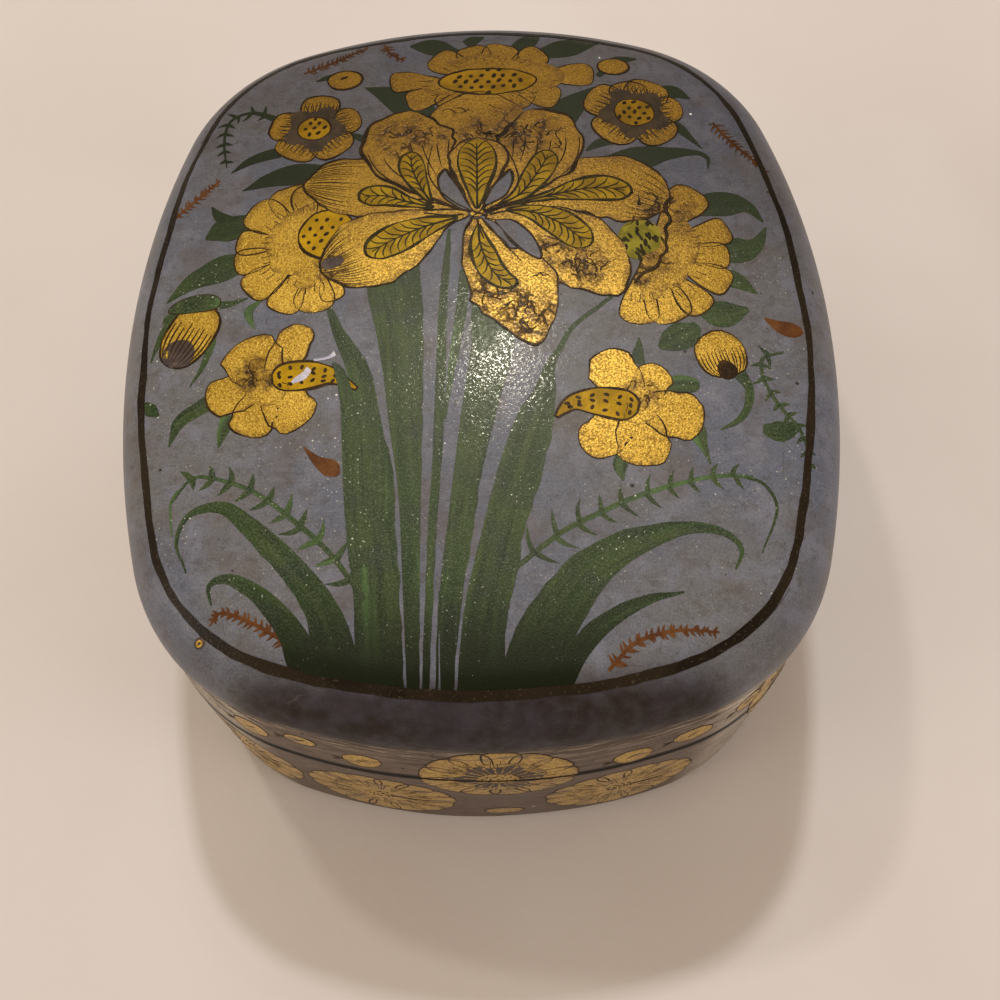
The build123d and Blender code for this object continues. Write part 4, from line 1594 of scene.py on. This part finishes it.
    # the hearts, each with its count of veins: the upright one, then to the left and right,
    # and the hanging one
    for veins, places in (
        (8, [(0.5, 19.2, 0.6), (0.5, 24, 4), (0.5, 29.5, 6.8), (0.5, 33.4, 5.6),
             (0.4, 35.2, 4)]),
        (6, [(-7.4, 20.6, 0.5), (-9.2, 24, 2.6), (-10.7, 28, 4.4), (-11.1, 30.6, 4.0),
             (-11, 32.6, 2.6)]),
        (6, [(4.4, 19.8, 0.5), (8, 22.2, 2.6), (10.6, 26.2, 4.6), (12.4, 29.6, 4.6),
             (13.3, 32.2, 3.2)]),
        (6, [(-7.2, 19.6, 0.5), (-11.5, 21, 2.2), (-15.2, 22.5, 4.2),
             (-18.2, 22.7, 4.2), (-20, 22.2, 2.6)]),
        (8, [(7, 20, 0.4), (13, 21.7, 1.8), (18.3, 23.1, 4.6), (22.4, 23.5, 5.4),
             (25.6, 23, 4.2), (27.2, 22.6, 2.4)]),
        (8, [(-3, 17.1, 0.5), (-8.3, 15.4, 4.2), (-13.3, 13, 6), (-16.6, 10.9, 5),
             (-18.2, 9.7, 3)]),
        (8, [(5.6, 18.6, 0.5), (10, 18, 3.2), (14.2, 15.8, 5.6), (17.6, 12.6, 5.2),
             (19.3, 10.8, 3)]),
        (7, [(0.7, 15.4, 0.6), (0.8, 12.3, 2.8), (1.5, 9.2, 4.2), (2.8, 5.9, 4.2),
             (4.7, 3.8, 3.4), (7, 3.0, 1.6)]),
    ):
        veined_heart(top, places, 34, veins)

    # ink claws that join the hearts to the throat
    for places in (
        [(-0.6, 18.6, 0.3), (-3.9, 21.0, 0.3), (-6.9, 24.6, 0.26), (-8.1, 28.6, 0.24),
         (-7.4, 34, 0.1)],
        [(-1.4, 18.6, 0.4), (-5.0, 20.0, 0.3), (-9.6, 21.6, 0.2)],
        [(-1.8, 17.8, 0.4), (-4.4, 17.7, 0.3), (-8.6, 18.4, 0.2)],
        [(1.8, 18.4, 0.3), (4.9, 20.6, 0.3), (7.6, 24.6, 0.26), (7.1, 29, 0.24),
         (5.4, 33.6, 0.1)],
        [(2.2, 18.4, 0.35), (5.6, 19.8, 0.28), (11.6, 22.0, 0.18)],
        [(2.6, 17.7, 0.4), (5.2, 18.3, 0.3), (9.4, 18.9, 0.2)],
        [(0.5, 16.6, 0.4), (0.8, 15.0, 0.35), (1.6, 12.4, 0.25)],
        [(-0.4, 16.8, 0.35), (-1.7, 14.4, 0.26), (-2.1, 10.8, 0.18)],
        [(1.4, 16.6, 0.35), (3.0, 14.4, 0.28), (4.8, 11.4, 0.22), (7.8, 7.6, 0.12)],
    ):
        top.stroke("ink", places, 38, step=0.7, wobble=0.08)


def paint_border(top):
    """The brushed line that runs round the top, uneven as the hand went."""
    bearing = np.linspace(math.pi / 2, math.pi * 2.5, 520)
    inset = border_inset + 0.25 + 0.65 * np.cos(bearing) + 0.25 * np.sin(bearing)
    x, y = plan_at(bearing, inset)
    drift = shake(x, y, 16.0, 0.5) + shake(x, y, 4.0, 0.18)
    x, y = plan_at(bearing, inset + drift)
    width = 1.12 - 0.25 * np.sin(bearing)
    width = width + shake(x + 90, y, 9.0, 0.35) + shake(x + 90, y, 2.0, 0.2)
    top.ribbon("line", np.column_stack([x, y, np.maximum(width, 0.75)]), 14)
    top.stroke("line", [(38.4, -58.6, 0.2), (41.8, -56.4, 0.7), (45, -53.4, 0.4),
                        (47.6, -50.2, 0.15)], 14)
    # a stray ring of gold outside the line
    stray = (-41, -56.3)
    oval(top, "smoke", stray, 1.7, 1.5, 20, line=0)
    dab(top, "gold", *stray, 1.2, 1.0, 0.3, 22)
    dab(top, "smoke", *stray, 0.5, 0.4, 0.3, 24)


# ---------------------------------------------------------------- round the walls
def paint_walls(wall):
    """Flowers round the box: half of each seam rosette is on the lid and half on the base."""
    repeat = 52                        # how far apart the flowers of the far walls are
    for at in (2.5, *range(58, 319, repeat), 368):
        rosette(wall, (at, 36), 12.8, 13, 4, True)
        oval(wall, "gold", (at + 1.0, 8.6), 7.2, 4.8, 2, line=0.16)
    for at in (23.8, *range(84, 293, repeat), 343, 390, perimeter - 18):
        rosette(wall, (at, 17.2), 13.2, 15, 0, False)
    buds = [(-19, 40.0, 6.5, 5.5), (-29, 43.0, 5.5, 3.6), (-38, 40.5, 6.5, 5.2),
            (24, 38.5, 6.5, 5.5), (34, 40.5, 7.0, 4.5), (44.5, 41.5, 5.6, 4.4)]
    for at in range(80, 341, repeat):
        buds += [(at, 39.0, 6.5, 5.5), (at + 10, 41.5, 6.0, 4.4)]
    for at, height, wide, tall in buds:
        oval(wall, "gold", (at, height), wide, tall, 2, line=0.16)
        dab(wall, "ink", at, height, 2.4, 0.4, 0.5, 4)
        for lean in (-0.7, 0.1, 0.9):
            wall.stroke("ink", [(at - wide / 2, height - 0.6, 0.3),
                                (at - wide / 2 - 1.6, height - 1.1 + lean, 0.12)], 2)


# ---------------------------------------------------------------- floor, light and camera
def make_floor():
    """A pale matt table top that turns up far behind the box."""
    finish, tree, place = new_finish("pale_table")
    colour = laid(tree, "#d0c9c3", (blotches(tree, place, 90.0, 0.35, 0.65), "#d5cfca"))
    skin = raised(tree, (blotches(tree, place, 2.0, 0.3, 0.7), 0.02))
    seal(tree, colour, skin, roughness=0.55)
    # in metres: half the table's width, where it starts to turn up, and where it ends
    reach, turn_up, end = 1.6, 1.2, 1.8
    run = np.linspace(-reach, end, 41)
    points = [(x, y, max(0.0, y - turn_up) ** 2 * 1.5) for y in run for x in (-reach, reach)]
    faces = [(2 * i, 2 * i + 1, 2 * i + 3, 2 * i + 2) for i in range(len(run) - 1)]
    mesh = bpy.data.meshes.new("table_top")
    mesh.from_pydata(points, [], faces)
    mesh.shade_smooth()
    mesh.materials.append(finish)
    table = bpy.data.objects.new("table_top", mesh)
    bpy.context.scene.collection.objects.link(table)


def make_lamp(name, place, size, watts, tint, seen):
    """A soft square lamp aimed at the lid. It lights the paint, makes its glints, or both."""
    lamp = bpy.data.lights.new(name, "AREA")
    lamp.shape = "RECTANGLE"
    lamp.size = lamp.size_y = size
    lamp.energy = watts
    lamp.color = linear(tint)[:3]
    holder = bpy.data.objects.new(name, lamp)
    holder.location = place
    holder.visible_diffuse = seen != "glints"
    holder.visible_glossy = seen != "paint"
    lid_middle = Vector((0, 0, 0.06))
    holder.rotation_euler = (lid_middle - Vector(place)).to_track_quat("-Z", "Y").to_euler()
    bpy.context.scene.collection.objects.link(holder)


def light_scene():
    """Three small lamps above and behind, a weak soft one at each side, and the pale room."""
    world = bpy.data.worlds.new("room")
    bpy.context.scene.world = world
    world.use_nodes = True
    world.node_tree.nodes.clear()
    tree = world.node_tree
    mirrored = add(tree, "LightPath", out="Is Glossy Ray")
    # the room is darker to mirror than it is to light by, so that the varnish stays clear
    level = add(tree, "MapRange", {0: mirrored, 3: 0.56, 4: 0.12})
    glow = add(tree, "Background", {"Color": linear("#ffe6cb"), "Strength": level})
    add(tree, "OutputWorld", {"Surface": glow})
    for lamp in (
        ("main_softbox", (-0.06, 0.90, 1.90), 0.11, 14.5, "#f8faff", "paint"),
        ("left_softbox", (-0.61, 0.68, 1.70), 0.11, 5.5, "#fffaf2", "paint"),
        ("glint_lamp", (0.05, 1.05, 1.90), 0.13, 16.0, "#fff6e2", "glints"),
        ("side_softbox", (-1.25, -0.40, 0.75), 0.60, 4.6, "#fff4e8", "both"),
        ("right_softbox", (1.25, -0.55, 0.75), 0.60, 4.4, "#f0f1ff", "paint"),
    ):
        make_lamp(*lamp)


def set_camera():
    """The eye stands in front of the box and looks steeply down on it."""
    focal = 1.25                       # focal length as a share of the picture's width
    tilt, roll, turn = (math.radians(a) for a in (60.512, -5.0, 4.645))
    aim = Vector((-6.575, -19.991, 63.8))        # a place on the near half of the lid
    away = 198.066                               # how far the eye is from there
    forward = Vector((0, math.cos(tilt), -math.sin(tilt)))
    up = Vector((0, math.sin(tilt), math.cos(tilt)))
    right = Vector((1, 0, 0))
    right, up = (right * math.cos(roll) + up * math.sin(roll),
                 up * math.cos(roll) - right * math.sin(roll))
    spin = Matrix.Rotation(turn, 3, "Z")
    place = spin @ (aim - forward * away) * MM
    axes = Matrix([spin @ right, spin @ up, spin @ -forward]).transposed()
    eye = bpy.data.cameras.new("eye")
    eye.sensor_width = 36.0
    eye.lens = eye.sensor_width * focal
    eye.shift_x, eye.shift_y = 0.0547, -0.08
    eye.clip_start, eye.clip_end = 0.01, 20
    camera = bpy.data.objects.new("eye", eye)
    camera.matrix_world = Matrix.Translation(place) @ axes.to_4x4()
    bpy.context.scene.collection.objects.link(camera)
    bpy.context.scene.camera = camera


make_crown()
make_lid_wall()
make_base_wall()
make_base_floor()
make_collar()

lid_top = Painting("top", on_crown, keep_inside)
paint_blades(lid_top)
paint_small_leaves(lid_top)
paint_ferns(lid_top)
paint_outer_flowers(lid_top)
paint_iris(lid_top)
paint_border(lid_top)
lid_top.finish("lid")

walls = Painting("wall", on_wall)
paint_walls(walls)
# the walls' paint is cut at the seam, clear of the worn rims, so that it parts with the lid
seam_gap = rim_radius + 0.05
walls.name = "lid_wall"
walls.finish("lid", (base_height + seam_gap, crown_bottom - 0.1))
walls.name = "base_wall"
walls.finish("base", (1.0, base_height - seam_gap))

make_floor()
light_scene()
set_camera()
bpy.context.scene.view_settings.view_transform = "Standard"
